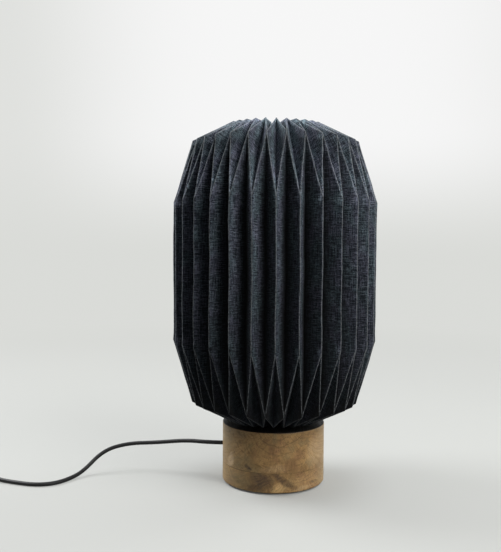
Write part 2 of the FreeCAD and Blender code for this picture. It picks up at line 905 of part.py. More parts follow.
def flex_along(label, edges):
    """A tube of the flex's section along a path, compared with its section times its length."""
    path = Part.Wire(edges)
    first = edges[0]
    heading = first.tangentAt(first.FirstParameter)
    section = Part.Circle(first.valueAt(first.FirstParameter), heading, size.flex_radius.value)
    tube = path.makePipeShell([Part.Wire(section.toShape())], True, False)
    expected = math.pi * size.flex_radius.value**2 * path.Length
    print(f"{label}: length {path.Length:.1f}, volume over section times length {tube.Volume / expected:.5f}")
    return shaped(label, tube)


def make_flex_run(label, points, bend=None):
    edges, radii = rounded_path(points, bend)
    print(f"{label}: radii", [round(radius, 1) for radius in radii])
    return flex_along(label, edges)


def make_bush():
    """The sleeve that lines the hole in the base's side, a little below its surface."""
    bush = turned("flex_bush", ring_corners(
        size.flex_radius + size.flex_play, bush_radius,
        ZERO, size.base_radius - size.bush_set_back - cavity_radius))
    place(bush, along=-cavity_radius, up=size.flex_exit_height,
          turn=FreeCAD.Rotation(Vector(0, 1, 0), -90))
    return bush


def make_flex_stop():
    """The collar inside the hollow that keeps the flex from being pulled out."""
    stop = turned("flex_stop", ring_corners(
        size.flex_radius + size.flex_play, stop_radius, ZERO, size.stop_length))
    place(stop, along=-stop_seat, up=size.flex_exit_height, turn=FreeCAD.Rotation(Vector(0, 1, 0), 90))
    return stop


def flex_exit():
    return Vector(-(size.base_radius - size.bush_set_back).value, 0, size.flex_exit_height.value)


def make_inner_lead():
    """The flex inside the base: past its stop it dips under the nipple and rises through it."""
    past_stop = stop_seat - size.stop_length - size.lead_straight
    points = [
        flex_exit(), Vector(-past_stop.value, 0, size.flex_exit_height.value),
        Vector(0, 0, (nipple_bottom - size.lead_room).value), Vector(0, 0, block_bottom.value),
    ]
    return make_flex_run("inner_lead", points, size.lead_bend.value)


# Inline switch

class SwitchPlace:
    """Where the switch lies: its sleeves run along X, away from the lamp."""

    def __init__(self):
        inlet = Vector(*FLEX_TO_SWITCH[-1])
        reach = (size.sleeve_length + size.switch_length / 2).value
        self.inlet = inlet
        self.centre = Vector(inlet.x - reach, inlet.y, 0)
        self.outlet = Vector(inlet.x - 2 * reach, inlet.y, inlet.z)

    def put(self, item, up=ZERO, turn=None):
        item.Placement = FreeCAD.Placement(
            Vector(self.centre.x, self.centre.y, up.value), turn or FreeCAD.Rotation())
        if up.value:
            item.setExpression("Placement.Base.z", up.text)


def cut_pivot(case):
    """The groove across the seam that one half of the rocker's pivot turns in."""
    half_width = size.rocker_width / 2 + size.pivot_reach + size.rocker_side_play
    groove = circles(case, "XZ_Plane", "pivot_groove", [(ZERO, ZERO)], size.pivot_radius + size.pivot_play)
    cut(case, groove, half_width * 2, both_ways=True)


def switch_screw_spots():
    return [(-size.switch_screw_offset, ZERO), (size.switch_screw_offset, ZERO)]


def cut_switch_screws(case, depth, backwards):
    holes = circles(case, "XY_Plane", "screw_holes", switch_screw_spots(),
                    size.switch_screw_radius + size.screw_play)
    cut(case, holes, depth, backwards=backwards)


def rocker_room():
    return rectangle(size.rocker_length / 2 + size.rocker_end_play,
                     size.rocker_width / 2 + size.rocker_side_play)


def make_switch_lower(spot):
    """The lower half: its origin lies in the seam, and it reaches down to the floor."""
    corners, arcs = rounded_plate(size.switch_length / 2, size.switch_width / 2, size.switch_corner)
    case = padded("switch_lower_case", "XY_Plane", corners, size.switch_lower_height, arcs)
    case.Tip.Reversed = True
    rounded(case, size.switch_edge_round, -size.switch_lower_height)
    room = outline(case, "XY_Plane", "room", rocker_room())
    cut(case, room, size.switch_lower_height - size.switch_floor)
    cut_pivot(case)
    cut_switch_screws(case, size.switch_lower_height + size.cut_overrun, False)
    heads = circles(case, "XY_Plane", "screw_heads", switch_screw_spots(),
                    size.screw_head_radius + size.screw_play, level=-size.switch_lower_height)
    cut(case, heads, size.screw_head_height + size.screw_play, backwards=True)
    spot.put(case, up=size.switch_lower_height)
    return case


def make_switch_upper(spot):
    """The upper half, with the window that the rocker stands in."""
    corners, arcs = rounded_plate(size.switch_length / 2, size.switch_width / 2, size.switch_corner)
    case = padded("switch_upper_case", "XY_Plane", corners, size.switch_upper_height, arcs)
    rounded(case, size.switch_edge_round, size.switch_upper_height)
    room = outline(case, "XY_Plane", "room", rocker_room())
    cut(case, room, size.switch_upper_height + size.cut_overrun, backwards=True)
    cut_pivot(case)
    depth = size.screw_head_height + size.switch_screw_length - size.switch_lower_height + size.screw_play
    cut_switch_screws(case, depth, True)
    spot.put(case, up=size.switch_lower_height)
    return case


def make_rocker(spot):
    """The rocker about its pivot: a dished top, and stub axles that turn in the case's seam."""
    half = size.rocker_length / 2
    rocker = padded("switch_rocker", "XZ_Plane", (
        (-half, -size.rocker_drop), (half, -size.rocker_drop), (half, size.rocker_rise),
        (ZERO, size.rocker_rise - size.rocker_dip), (-half, size.rocker_rise),
    ), size.rocker_width, both_ways=True)
    axle = circles(rocker, "XZ_Plane", "axle", [(ZERO, ZERO)], size.pivot_radius)
    stub = rocker.newObject("PartDesign::Pad", "switch_rocker_axle")
    stub.Profile = axle
    bind(stub, Length=size.rocker_width + size.pivot_reach * 2)
    stub.Midplane = True
    rocker.Tip = stub
    tilt = FreeCAD.Rotation(Vector(0, 1, 0), -size.rocker_throw_angle.value / 2)
    spot.put(rocker, up=size.switch_lower_height, turn=tilt)
    return rocker


def make_switch_sleeves(spot):
    """The tapered strain reliefs at the two ends of the switch."""
    sleeves = []
    half = size.switch_length / 2
    for label, way in (("switch_inlet_sleeve", 1), ("switch_outlet_sleeve", -1)):
        sleeve = part_object("Part::Cone", label, Radius1=size.sleeve_wide_radius,
                             Radius2=sleeve_tip_radius, Height=size.sleeve_length)
        at = Vector(spot.centre.x + way * half.value, spot.centre.y, spot.inlet.z)
        sleeve.Placement = FreeCAD.Placement(at, FreeCAD.Rotation(Vector(0, 1, 0), 90 * way))
        sleeves.append(sleeve)
    return sleeves


def make_switch_screws(spot):
    screw = make_screw("switch_screw_pattern", size.switch_screw_radius, size.switch_screw_length)
    spots = []
    for way in (1, -1):
        at = spot.centre + Vector(way * size.switch_screw_offset.value, 0, size.floor_play.value)
        spots.append(FreeCAD.Placement(at, FreeCAD.Rotation()))
    return grouped("switch_screws", screw, spots)


def make_switch_contacts(spot):
    strip = part_object("Part::Box", "switch_strip_pattern", Length=size.strip_length,
                        Width=size.strip_width, Height=size.strip_thick)
    spots = []
    for way in (1, -1):
        at = spot.centre + Vector(
            way * size.strip_offset.value - size.strip_length.value / 2,
            -size.strip_width.value / 2, size.switch_floor.value)
        spots.append(FreeCAD.Placement(at, FreeCAD.Rotation()))
    return grouped("switch_contacts", strip, spots)


# Coil, strap and plug

class Coil:
    """A flat coil in layers that spirals in and out, climbing a layer where the spiral turns back."""

    def __init__(self, start):
        self.layers = int(size.coil_layer_count.value)
        self.turns = size.coil_turn_count.value
        self.pitch = size.coil_pitch.value
        self.outer = size.coil_radius.value
        self.layer_turns = self.turns / self.layers
        self.start_angle = math.radians(COIL_START_ANGLE)
        self.centre = Vector(start.x, start.y - self.outer, start.z)

    def radius(self, turn):
        along = turn % (2 * self.layer_turns)
        return self.outer - self.pitch * min(along, 2 * self.layer_turns - along)

    def height(self, turn):
        """Whole layers, with half a turn of steady climb about each place where the spiral turns back."""
        layer = round(turn / self.layer_turns)
        past = (turn - layer * self.layer_turns) / CLIMB_TURN_SHARE
        climb = min(max(past + 1 / 2, 0.0), 1.0)
        level = layer - 1 + climb
        return self.pitch * min(max(level, 0.0), self.layers - 1)

    def point(self, turn):
        angle = self.start_angle + 2 * math.pi * turn
        radius = self.radius(turn)
        return self.centre + Vector(radius * math.cos(angle), radius * math.sin(angle), self.height(turn))

    def heading(self, turn):
        ahead, behind = self.point(turn + HEADING_TURN_SHARE), self.point(turn - HEADING_TURN_SHARE)
        return (ahead - behind).normalize()

    def edges(self):
        """Biarcs of a quarter turn, between points of the spiral and along its heading there."""
        edges = []
        count = int(self.turns * QUARTER_COUNT)
        stops = [self.turns * number / count for number in range(count + 1)]
        headings = [self.heading(turn) for turn in stops]
        headings[0] = Vector(-1, 0, 0)
        headings[-1] = Vector(1, 0, 0)
        for index in range(count):
            start, end = self.point(stops[index]), self.point(stops[index + 1])
            first, last = headings[index], headings[index + 1]
            span = end - start
            bend = 2 * (1 - first.dot(last))
            pull = span.dot(first + last)
            reach = (math.sqrt(pull**2 + bend * span.dot(span)) - pull) / bend
            corner, far_corner = start + first * reach, end - last * reach
            joint = (corner + far_corner) / 2
            edges.append(arc_edge(start, corner, joint))
            edges.append(arc_edge(joint, far_corner, end))
        return edges

    def least_gap(self):
        """The least space between two turns, on points along the spiral."""
        count = int(self.turns * GAP_POINT_COUNT)
        points = [self.point(self.turns * number / count) for number in range(count + 1)]
        near = int(GAP_POINT_COUNT * NEAR_TURN_SHARE)
        least = min(
            (points[later] - points[first]).Length
            for first in range(count) for later in range(first + near, count + 1)
        )
        return least - 2 * size.flex_radius.value


def straight_ends(edges):
    """Adds one tube diameter of straight run to each end of a wound path."""
    reach = 2 * size.flex_radius.value
    first, last = edges[0], edges[-1]
    start, end = first.valueAt(first.FirstParameter), last.valueAt(last.LastParameter)
    before = start - first.tangentAt(first.FirstParameter) * reach
    after = end + last.tangentAt(last.LastParameter) * reach
    lead_in = Part.LineSegment(before, start).toShape()
    lead_out = Part.LineSegment(end, after).toShape()
    return [lead_in] + edges + [lead_out], after


def make_strap(coil):
    """The strap round the coil's turns, on the side away from the lamp."""
    tube_inner = coil_inner_radius - size.flex_radius
    inner = tube_inner.leg(size.strap_width / 2) - size.strap_play
    outer = size.coil_radius + size.flex_radius + size.strap_play
    stack = size.coil_pitch * (coil.layers - 1) + size.flex_radius * 2 + size.strap_play * 2
    skin = part_object("Part::Box", "strap_outside", Length=outer - inner + size.strap_thick * 2,
                       Width=size.strap_width, Height=stack + size.strap_thick * 2)
    room = part_object("Part::Box", "strap_inside", Length=outer - inner,
                       Width=size.strap_width + size.cut_overrun * 2, Height=stack)
    corner = Vector(-(outer + size.strap_thick).value, -size.strap_width.value / 2, 0)
    skin.Placement = FreeCAD.Placement(corner, FreeCAD.Rotation())
    inset = Vector(size.strap_thick.value, -size.cut_overrun.value, size.strap_thick.value)
    room.Placement = FreeCAD.Placement(corner + inset, FreeCAD.Rotation())
    strap = less("coil_strap", skin, room)
    strap.Placement = FreeCAD.Placement(Vector(coil.centre.x, coil.centre.y, 0), FreeCAD.Rotation())
    return strap


def plug_face(half_width, half_thick):
    """The six-sided outline of a flat two-pin plug."""
    flat = half_width * FLAT_SIDE_SHARE
    return (
        (-half_width, ZERO), (-flat, -half_thick), (flat, -half_thick),
        (half_width, ZERO), (flat, half_thick), (-flat, half_thick),
    )


def make_plug(at):
    """The plug's body, lofted from its face to its tail; its origin is at the tail."""
    body = new_body("plug_body")
    tail = outline(body, "YZ_Plane", "tail", plug_face(size.plug_tail_width / 2, size.plug_tail_thick / 2))
    face = outline(body, "YZ_Plane", "face", plug_face(size.plug_width / 2, size.plug_thick / 2),
                   level=size.plug_length)
    loft = body.newObject("PartDesign::AdditiveLoft", "plug_body_loft")
    loft.Profile = tail
    loft.Sections = [face]
    loft.Ruled = True
    body.Tip = loft
    body.Placement = FreeCAD.Placement(at, FreeCAD.Rotation())
    return body


def make_plug_relief(at):
    relief = part_object("Part::Cone", "plug_relief", Radius1=size.flex_radius + size.relief_wall,
                         Radius2=size.relief_wide_radius, Height=size.relief_length)
    relief.Placement = FreeCAD.Placement(at, FreeCAD.Rotation(Vector(0, 1, 0), 90))
    return relief


def make_plug_pins(at):
    """Two round pins with domed ends, at the plug's face."""
    straight = size.plug_pin_length - size.plug_pin_radius
    root = size.plug_pin_radius
    pin = turned("plug_pin_pattern", (
        (ZERO, ZERO), (root, ZERO), (root, straight), (ZERO, size.plug_pin_length),
    ), {2: (root, LEFT)})
    spots = []
    for way in (1, -1):
        offset = Vector(size.plug_length.value, way * size.plug_pin_spacing.value / 2, 0)
        spots.append(FreeCAD.Placement(at + offset, FreeCAD.Rotation(Vector(0, 1, 0), 90)))
    return grouped("plug_pins", pin, spots)


# The whole lamp

def make_base():
    return [
        make_lower_block(), make_upper_block(), make_felt(), make_cover(), make_cover_screws(),
        make_nipple(), make_washer(), make_nut(),
    ]


def make_holder():
    return [
        make_holder_cap(), make_terminal_block(), make_contact(), make_screw_shell(), make_skirt(),
    ]


def make_bulb():
    return [
        make_bulb_tip(), make_bulb_insulator(), make_bulb_cap(), make_bulb_housing(), make_bulb_globe(),
    ]


def make_shade_group():
    folds = Folds()
    outer = folds.rows()
    inner = inner_rows(folds, outer)
    clamped_top = max(outer[1][0][1], inner[1][0][1])
    print(f"shade: bottom {outer[0][0][1]:.1f}, top {outer[0][-1][1]:.1f}, "
          f"valley radius {outer[1][1][0]:.2f}, brow radius {folds.brow[0]:.2f}, "
          f"pleats clamped at {clamped_top:.2f}")
    return [
        make_shade(folds), *make_gather_threads(folds), make_shade_ring(clamped_top + size.seat_play.value),
    ]


def stepped(start, steps):
    """A route from a point, by steps along and across and by heights over the floor."""
    return [start] + [Vector(start.x + along, start.y + across, height) for along, across, height in steps]


def make_flex():
    spot = SwitchPlace()
    pieces = [make_bush(), make_flex_stop(), make_inner_lead()]
    route = [flex_exit()] + [Vector(*point) for point in FLEX_TO_SWITCH]
    pieces.append(make_flex_run("flex_to_switch", route))
    pieces += [
        make_switch_lower(spot), make_switch_upper(spot), make_rocker(spot),
        *make_switch_sleeves(spot), make_switch_screws(spot), make_switch_contacts(spot),
    ]
    to_coil = stepped(spot.outlet, FLEX_TO_COIL_STEPS)
    pieces.append(make_flex_run("flex_to_coil", to_coil))
    reach = 2 * size.flex_radius.value
    coil = Coil(to_coil[-1] - Vector(reach, 0, 0))
    wound, coil_end = straight_ends(coil.edges())
    pieces.append(flex_along("flex_coil", wound))
    print(f"flex_coil: least gap {coil.least_gap():.2f}, inner turn {coil_inner_radius.value:.1f}")
    pieces.append(make_strap(coil))
    to_plug = stepped(coil_end, FLEX_TO_PLUG_STEPS)
    pieces.append(make_flex_run("flex_to_plug", to_plug))
    relief_at = to_plug[-1]
    plug_at = relief_at + Vector(size.relief_length.value, 0, 0)
    pieces += [make_plug_relief(relief_at), make_plug(plug_at), make_plug_pins(plug_at)]
    return pieces


def check(pieces):
    """Stops before anything is written if an object failed or a sub-part isn't a sound solid."""
    document.recompute()
    failed = [item.Label for item in document.Objects if {"Invalid", "Error"} & set(item.State)]
    failed += [
        piece.Label for piece in pieces
        if piece.Shape.isNull() or not piece.Shape.isValid() or not piece.Shape.Solids
    ]
    if failed:
        raise RuntimeError(f"failed: {failed}")


def write(pieces):
    os.makedirs("parts", exist_ok=True)
    for piece in pieces:
        piece.Shape.exportStep(f"parts/{piece.Label}.step")
    print(len(pieces), "sub-parts")


lamp = make_base() + make_holder() + make_bulb() + make_shade_group() + make_flex()
check(lamp)
write(lamp)
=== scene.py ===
import math

import bmesh
import bpy
import numpy as np
from mathutils import Matrix, Vector, geometry, noise


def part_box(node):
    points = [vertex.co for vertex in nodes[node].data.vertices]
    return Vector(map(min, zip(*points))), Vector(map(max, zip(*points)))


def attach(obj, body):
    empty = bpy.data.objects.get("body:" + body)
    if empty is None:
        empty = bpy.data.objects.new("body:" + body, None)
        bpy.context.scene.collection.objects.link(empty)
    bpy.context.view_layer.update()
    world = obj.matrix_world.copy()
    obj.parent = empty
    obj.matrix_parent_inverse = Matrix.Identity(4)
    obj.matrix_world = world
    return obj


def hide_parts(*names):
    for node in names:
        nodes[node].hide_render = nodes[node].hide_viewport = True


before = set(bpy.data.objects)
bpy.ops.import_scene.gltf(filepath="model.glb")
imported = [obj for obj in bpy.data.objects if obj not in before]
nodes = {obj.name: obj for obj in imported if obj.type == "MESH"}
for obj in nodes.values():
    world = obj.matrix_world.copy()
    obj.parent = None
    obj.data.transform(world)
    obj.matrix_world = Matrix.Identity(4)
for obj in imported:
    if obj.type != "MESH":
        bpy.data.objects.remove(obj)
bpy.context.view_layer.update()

scene = bpy.context.scene

# Camera, solved from the pleats and the base: metres, millimetres of lens, radians
CAMERA_PLACE = (0.0, -0.70504, 0.23067)
CAMERA_LENS = 46.754
CAMERA_PITCH = 0.0419
CAMERA_YAW = 0.0334
CAMERA_ROLL = 0.0064

# Flex: its section, the fineness of its curve and the routes that it follows
FLEX_RADIUS = 0.002
FLEX_BEVEL_STEPS = 6
FLEX_STEPS_PER_POINT = 8
CURVE_ORDER = 3
FLEX_EXIT = (-0.0497, 0.0, 0.035)
FLEX_TO_SWITCH = (
    (-0.064, 0.0, 0.035),
    (-0.088, 0.010, 0.034),
    (-0.119, 0.019, 0.0287),
    (-0.150, 0.0245, 0.0259),
    (-0.174, 0.0165, 0.0203),
    (-0.190, -0.002, 0.0039),
    (-0.199, -0.020, 0.00205),
    (-0.210, -0.0345, 0.00205),
    (-0.227, -0.0385, 0.00205),
    (-0.247, -0.033, 0.00205),
    (-0.267, -0.0265, 0.0025),
    (-0.288, -0.014, 0.006),
    (-0.304, -0.014, 0.006),
)
SWITCH_OUTLET = (-0.400, -0.014, 0.006)
FLEX_TO_COIL = (
    (-0.410, -0.014, 0.006),
    (-0.424, -0.014, 0.00305),
    (-0.436, -0.014, 0.00305),
)
COIL_CENTRE = (-0.440, -0.0415, 0.00305)
COIL_RADIUS = 0.0275
COIL_PITCH = 0.0046
COIL_LAYERS = 4
COIL_TURNS = 9.5
COIL_POINTS_PER_TURN = 24
COIL_CLIMB_TURNS = 0.5
FLEX_TO_PLUG = (
    (-0.436, -0.069, 0.01685),
    (-0.424, -0.069, 0.01685),
    (-0.408, -0.070, 0.015),
    (-0.392, -0.072, 0.0096),
    (-0.379, -0.071, 0.0069),
    (-0.367, -0.071, 0.0069),
)
INNER_LEAD = (
    FLEX_EXIT,
    (-0.0204, 0.0, 0.035),
    (0.0, 0.0, 0.0341),
    (0.0, 0.0, 0.0703),
)

# Folded shade: sizes on the flat sheet, then those of the folded form, whose first ridge faces nearly -Y
PLEAT_COUNT = 30
PLEAT_WIDTH = 0.020
BAND_HEIGHT = 0.1332
UPPER_SHOULDER = 0.058
LOWER_SHOULDER = 0.0594
BROW_HEIGHT = 0.0337
SHEET_THICK = 0.0005
RIDGE_RADIUS = 0.0983
HOLE_RADIUS = 0.020
LOWER_CROWN_RISE = 0.0034
SHADE_TURN = math.radians(0.6 - 90)

# Mesh of the shade: its points, the easing of its folds, and its waver (waves per metre, height)
MESH_STEP = 0.0065
NEAR_ROW = 0.0009
FAR_ROW = 0.0021
ROW_ROOM_SHARE = 0.98
LATTICE_RISE_SHARE = 0.87
LATTICE_START_SHARE = 0.25
LATTICE_ROOM_SHARE = 0.4
SAME_POINT_GAP = 1e-7
MERGE_GAP = 2e-5
CORNER_WEIGHT = 0.999
FOLD_ROUND_SHARE = 0.2
WAVER_SEED = 11
WAVERS = ((22.0, 0.0007), (70.0, 0.00025))

# Strain reliefs, plug, bulb cap, strap, threads and felt
SPIN_STEPS = 48
RELIEF_WALL = 0.001
RELIEF_LIP = RELIEF_WALL / 3
RELIEF_COLLAR = 0.003
RELIEF_GROOVE = 0.0008
RELIEF_GROOVE_SWELL = 1.6
RELIEF_BRIDGE_POWER = 16
RELIEF_RIBS = 7
RELIEF_ROWS_PER_RIB = 12
PLUG_TAIL = (0.0085, 0.0055)
PLUG_FLAT_SHARE = 0.72
PLUG_CORNER_POWER = 14
PLUG_WAIST_SHARE = 0.12
PLUG_EDGE = 0.0009
PLUG_GRIPS = 5
PLUG_GRIP_DEPTH = 0.0006
PLUG_GRIP_POWER = 8
PLUG_GRIP_START_SHARE = 0.25
PLUG_GRIP_END_SHARE = 0.68
PLUG_EDGE_ROWS = 5
PLUG_ROWS = 80
PLUG_STEPS = 144
CAP_FOOT_RADIUS = 0.0105
CAP_PITCH = 0.00363
CAP_GROOVE = 0.0008
CAP_PLAIN = 0.003
CAP_ROWS = 72
CAP_STEPS = 72
STRAP_THICK = 0.0008
STRAP_BEND = 0.0026
STRAP_BEND_POINTS = 7
STRAP_COLUMNS = 7
STRAP_LAP_POINTS = 10
STRAP_LAP_LIFT = 1.1 * STRAP_THICK
STRAP_LAP_SLOPE = 4
STRAP_LAP_START_SHARE = 0.04
THREAD_TWISTS = 60
THREAD_POINTS_PER_TWIST = 8
THREAD_STEPS_PER_POINT = 2
PLY_BEVEL_STEPS = 2
PLY_RADIUS_SHARE = 0.55
PLY_OFFSET_SHARE = 0.45
FELT_EDGE_ROWS = 9
FELT_STEPS = 180
FELT_FRAY = 0.0003
FELT_FRAY_WAVES = 9

# The folds of a half pleat: R counts up the ridge line's corners, V the valley line's
OUTWARD_FOLDS = (
    ("R0", "R1"), ("R1", "V1"), ("V1", "R2"), ("R2", "R3"), ("R3", "V2"), ("V2", "R4"), ("R4", "R5"),
)
DEEP_FOLDS = (("V0", "V1"), ("V1", "V2"), ("V2", "V3"))
INWARD_FOLDS = DEEP_FOLDS + (("R1", "R2"), ("R3", "R4"))
EVERY_FOLD = OUTWARD_FOLDS + INWARD_FOLDS
EVERY_LINE = EVERY_FOLD + (("R1", "V0"), ("R4", "V3"), ("R0", "V0"), ("R5", "V3"))
FLAT_FACES = (
    ("R0", "V0", "R1"), ("R1", "V0", "V1"), ("R1", "V1", "R2"), ("R2", "V1", "V2"),
    ("R2", "V2", "R3"), ("R3", "V2", "R4"), ("R4", "V2", "V3"), ("R4", "V3", "R5"),
)

# Noise: what centres it on zero, and the span that most of it lies in
NOISE_CENTRING = (-0.5, -0.5, -0.5)
NOISE_SPAN = (0.3, 0.7)


class Graph:
    """A node tree in the making; a node's values are numbers, colours or the sockets of other nodes."""

    def __init__(self, owner):
        owner.use_nodes = True
        self.tree = owner.node_tree

    def feed(self, socket, value):
        if isinstance(value, bpy.types.NodeSocket):
            self.tree.links.new(value, socket)
        elif socket.type == "RGBA":
            socket.default_value = (*value, 1.0)
        else:
            socket.default_value = value

    def add(self, kind, inputs=(), **settings):
        node = self.tree.nodes.new(f"ShaderNode{kind}")
        for key, value in settings.items():
            setattr(node, key, value)
        for key, value in dict(inputs).items():
            self.feed(node.inputs[key], value)
        return node

    def maths(self, operation, *values):
        return self.add("Math", enumerate(values), operation=operation).outputs[0]

    def times(self, product, *values):
        for value in values:
            product = self.maths("MULTIPLY", product, value)
        return product

    def apart(self, first, second):
        """How far two values lie apart."""
        return self.maths("ABSOLUTE", self.maths("SUBTRACT", first, second))

    def vector(self, *parts):
        return self.add("CombineXYZ", enumerate(parts)).outputs[0]

    def parts(self, vector):
        return self.add("SeparateXYZ", {0: vector}).outputs

    def joined(self, values, factors):
        """A vector whose parts are values times factors."""
        return self.vector(*map(self.times, values, factors))

    def shift(self, vector, offset):
        return self.add("VectorMath", {0: vector, 1: offset}, operation="ADD").outputs[0]

    def scaled(self, vector, factor):
        return self.add("VectorMath", {0: vector, 3: factor}, operation="SCALE").outputs[0]

    def length(self, vector):
        return self.add("VectorMath", {0: vector}, operation="LENGTH").outputs["Value"]

    def stretched(self, vector, scale):
        return self.add("Mapping", {"Vector": vector, "Scale": scale}).outputs[0]

    def warped(self, vector, scale, amount):
        """The vector shifted about by soft noise."""
        inputs = {"Vector": self.stretched(vector, scale), "Scale": 1.0}
        drift = self.shift(self.add("TexNoise", inputs).outputs["Color"], NOISE_CENTRING)
        return self.shift(vector, self.scaled(drift, amount))

    def noise(self, vector, scale=1.0, detail=2.0, roughness=0.5):
        inputs = {"Vector": vector, "Scale": scale, "Detail": detail, "Roughness": roughness}
        return self.add("TexNoise", inputs).outputs[0]

    def ramp(self, value, low, high, start=0.0, end=1.0):
        """Runs smoothly from start to end while the value runs from low to high."""
        inputs = {"Value": value, "From Min": low, "From Max": high, "To Min": start, "To Max": end}
        return self.add("MapRange", inputs, interpolation_type="SMOOTHSTEP").outputs[0]

    def mix(self, factor, first, second):
        """A blend of two colours, through those of the node's sockets that take colours."""
        node = self.add("Mix", data_type="RGBA")
        for index, value in ((0, factor), (6, first), (7, second)):
            self.feed(node.inputs[index], value)
        return node.outputs[2]

    def bump(self, height, distance, strength):
        inputs = {"Height": height, "Distance": distance, "Strength": strength}
        return self.add("Bump", inputs).outputs[0]

    def place(self):
        return self.add("TexCoord").outputs["Object"]

    def facing(self):
        """The parts of the surface's normal."""
        return self.parts(self.add("NewGeometry").outputs["Normal"])

    def attribute(self, name):
        return self.add("Attribute", attribute_name=name).outputs["Fac"]

    def viewed(self):
        """1 on the rays that show the background: those of the camera, of gloss and of glass."""
        rays = self.add("LightPath").outputs
        seen = self.maths("MAXIMUM", rays["Is Camera Ray"], rays["Is Glossy Ray"])
        return self.maths("MAXIMUM", seen, rays["Is Transmission Ray"])

    def surface(self, factor, first, second):
        """Makes a blend of two shaders the one that the tree puts out."""
        blend = self.add("MixShader", {0: factor, 1: first.outputs[0], 2: second.outputs[0]})
        output = next(node for node in self.tree.nodes if node.type.startswith("OUTPUT"))
        self.tree.links.new(blend.outputs[0], output.inputs["Surface"])


class Finish(Graph):
    """A material with one principled shader."""

    def __init__(self, name):
        self.material = bpy.data.materials.new(name)
        super().__init__(self.material)
        self.shader = self.tree.nodes["Principled BSDF"]

    def done(self, **inputs):
        """Feeds the shader's inputs, named in small letters, and gives the material."""
        for key, value in inputs.items():
            self.feed(self.shader.inputs[key.replace("_", " ").title().replace("Ior", "IOR")], value)
        return self.material

    def gloss(self, value, roughness, spread):
        """A roughness that noise moves about a middle one."""
        return self.ramp(value, *NOISE_SPAN, roughness + spread[0], roughness + spread[1])


def toned(colour, share):
    return tuple(share * part for part in colour)


# Linen: colours, waves per metre of the flat sheet, ramps (low, high, what these two give) and bump

LINEN_TEAL = (0.050, 0.069, 0.080)
LINEN_VIOLET = (0.060, 0.064, 0.088)
LINEN_DARK = (0.011, 0.0145, 0.020)
LINEN_SLUB = (0.098, 0.113, 0.134)
LINEN_SHADOW = (0.006, 0.008, 0.011)
# Outward folds: colour of wear on the threads together with a painted highlight
LINEN_WORN_AND_HIGHLIGHT = (0.18, 0.195, 0.205)
FINE_WEFT_WAVES = (520.0, 2100.0, 1.0)
FINE_WARP_WAVES = (2100.0, 420.0, 1.0)
WEFT_WAVES = (130.0, 1200.0, 1.0)
WARP_WAVES = (1150.0, 70.0, 1.0)
PATCH_WAVES = (110.0, 80.0, 1.0)
HUE_WAVES = (60.0, 34.0, 1.0)
FRAY_WAVES = (700.0, 420.0, 1.0)
HUE_RAMP = (0.38, 0.62)
THREAD_RAMP = (0.80, 1.20)
SLUB_RAMP = (0.57, 0.74, 0.0, 0.5)
THIN_RAMP = (0.43, 0.28, 0.0, 0.7)
PATCH_RAMP = (0.33, 0.66, 0.8, 1.15)
FINE_RAMP = (0.4, 1.6, 0.5, 1.5)
# Painted light: the linen is paler where it faces up
PAINTED_TOP_LIGHT_RAMP = (-0.3, 0.8, 0.65, 1.8)
# Painted light: the linen is paler higher up and darker towards the bottom
PAINTED_HEIGHT_LIGHT_RAMP = (0.11, 0.32, 0.66, 1.45)
# Painted shade: the linen darkens towards the deep valley folds, most low on the shade
PAINTED_VALLEY_SHADE_RAMP = (0.24, 0.31, 0.05, 0.38)
PAINTED_VALLEY_SHADE_DEPTH = 0.016
PAINTED_VALLEY_EDGE_LIGHT = 1.25
WORN_AND_HIGHLIGHT_RAMP = (0.0007, 0.0)
FRAY_RAMP = (0.34, 0.60, 0.25, 0.8)
FINE_RELIEF_SHARE = 0.35
LINEN_BUMP = (0.0005, 0.6)


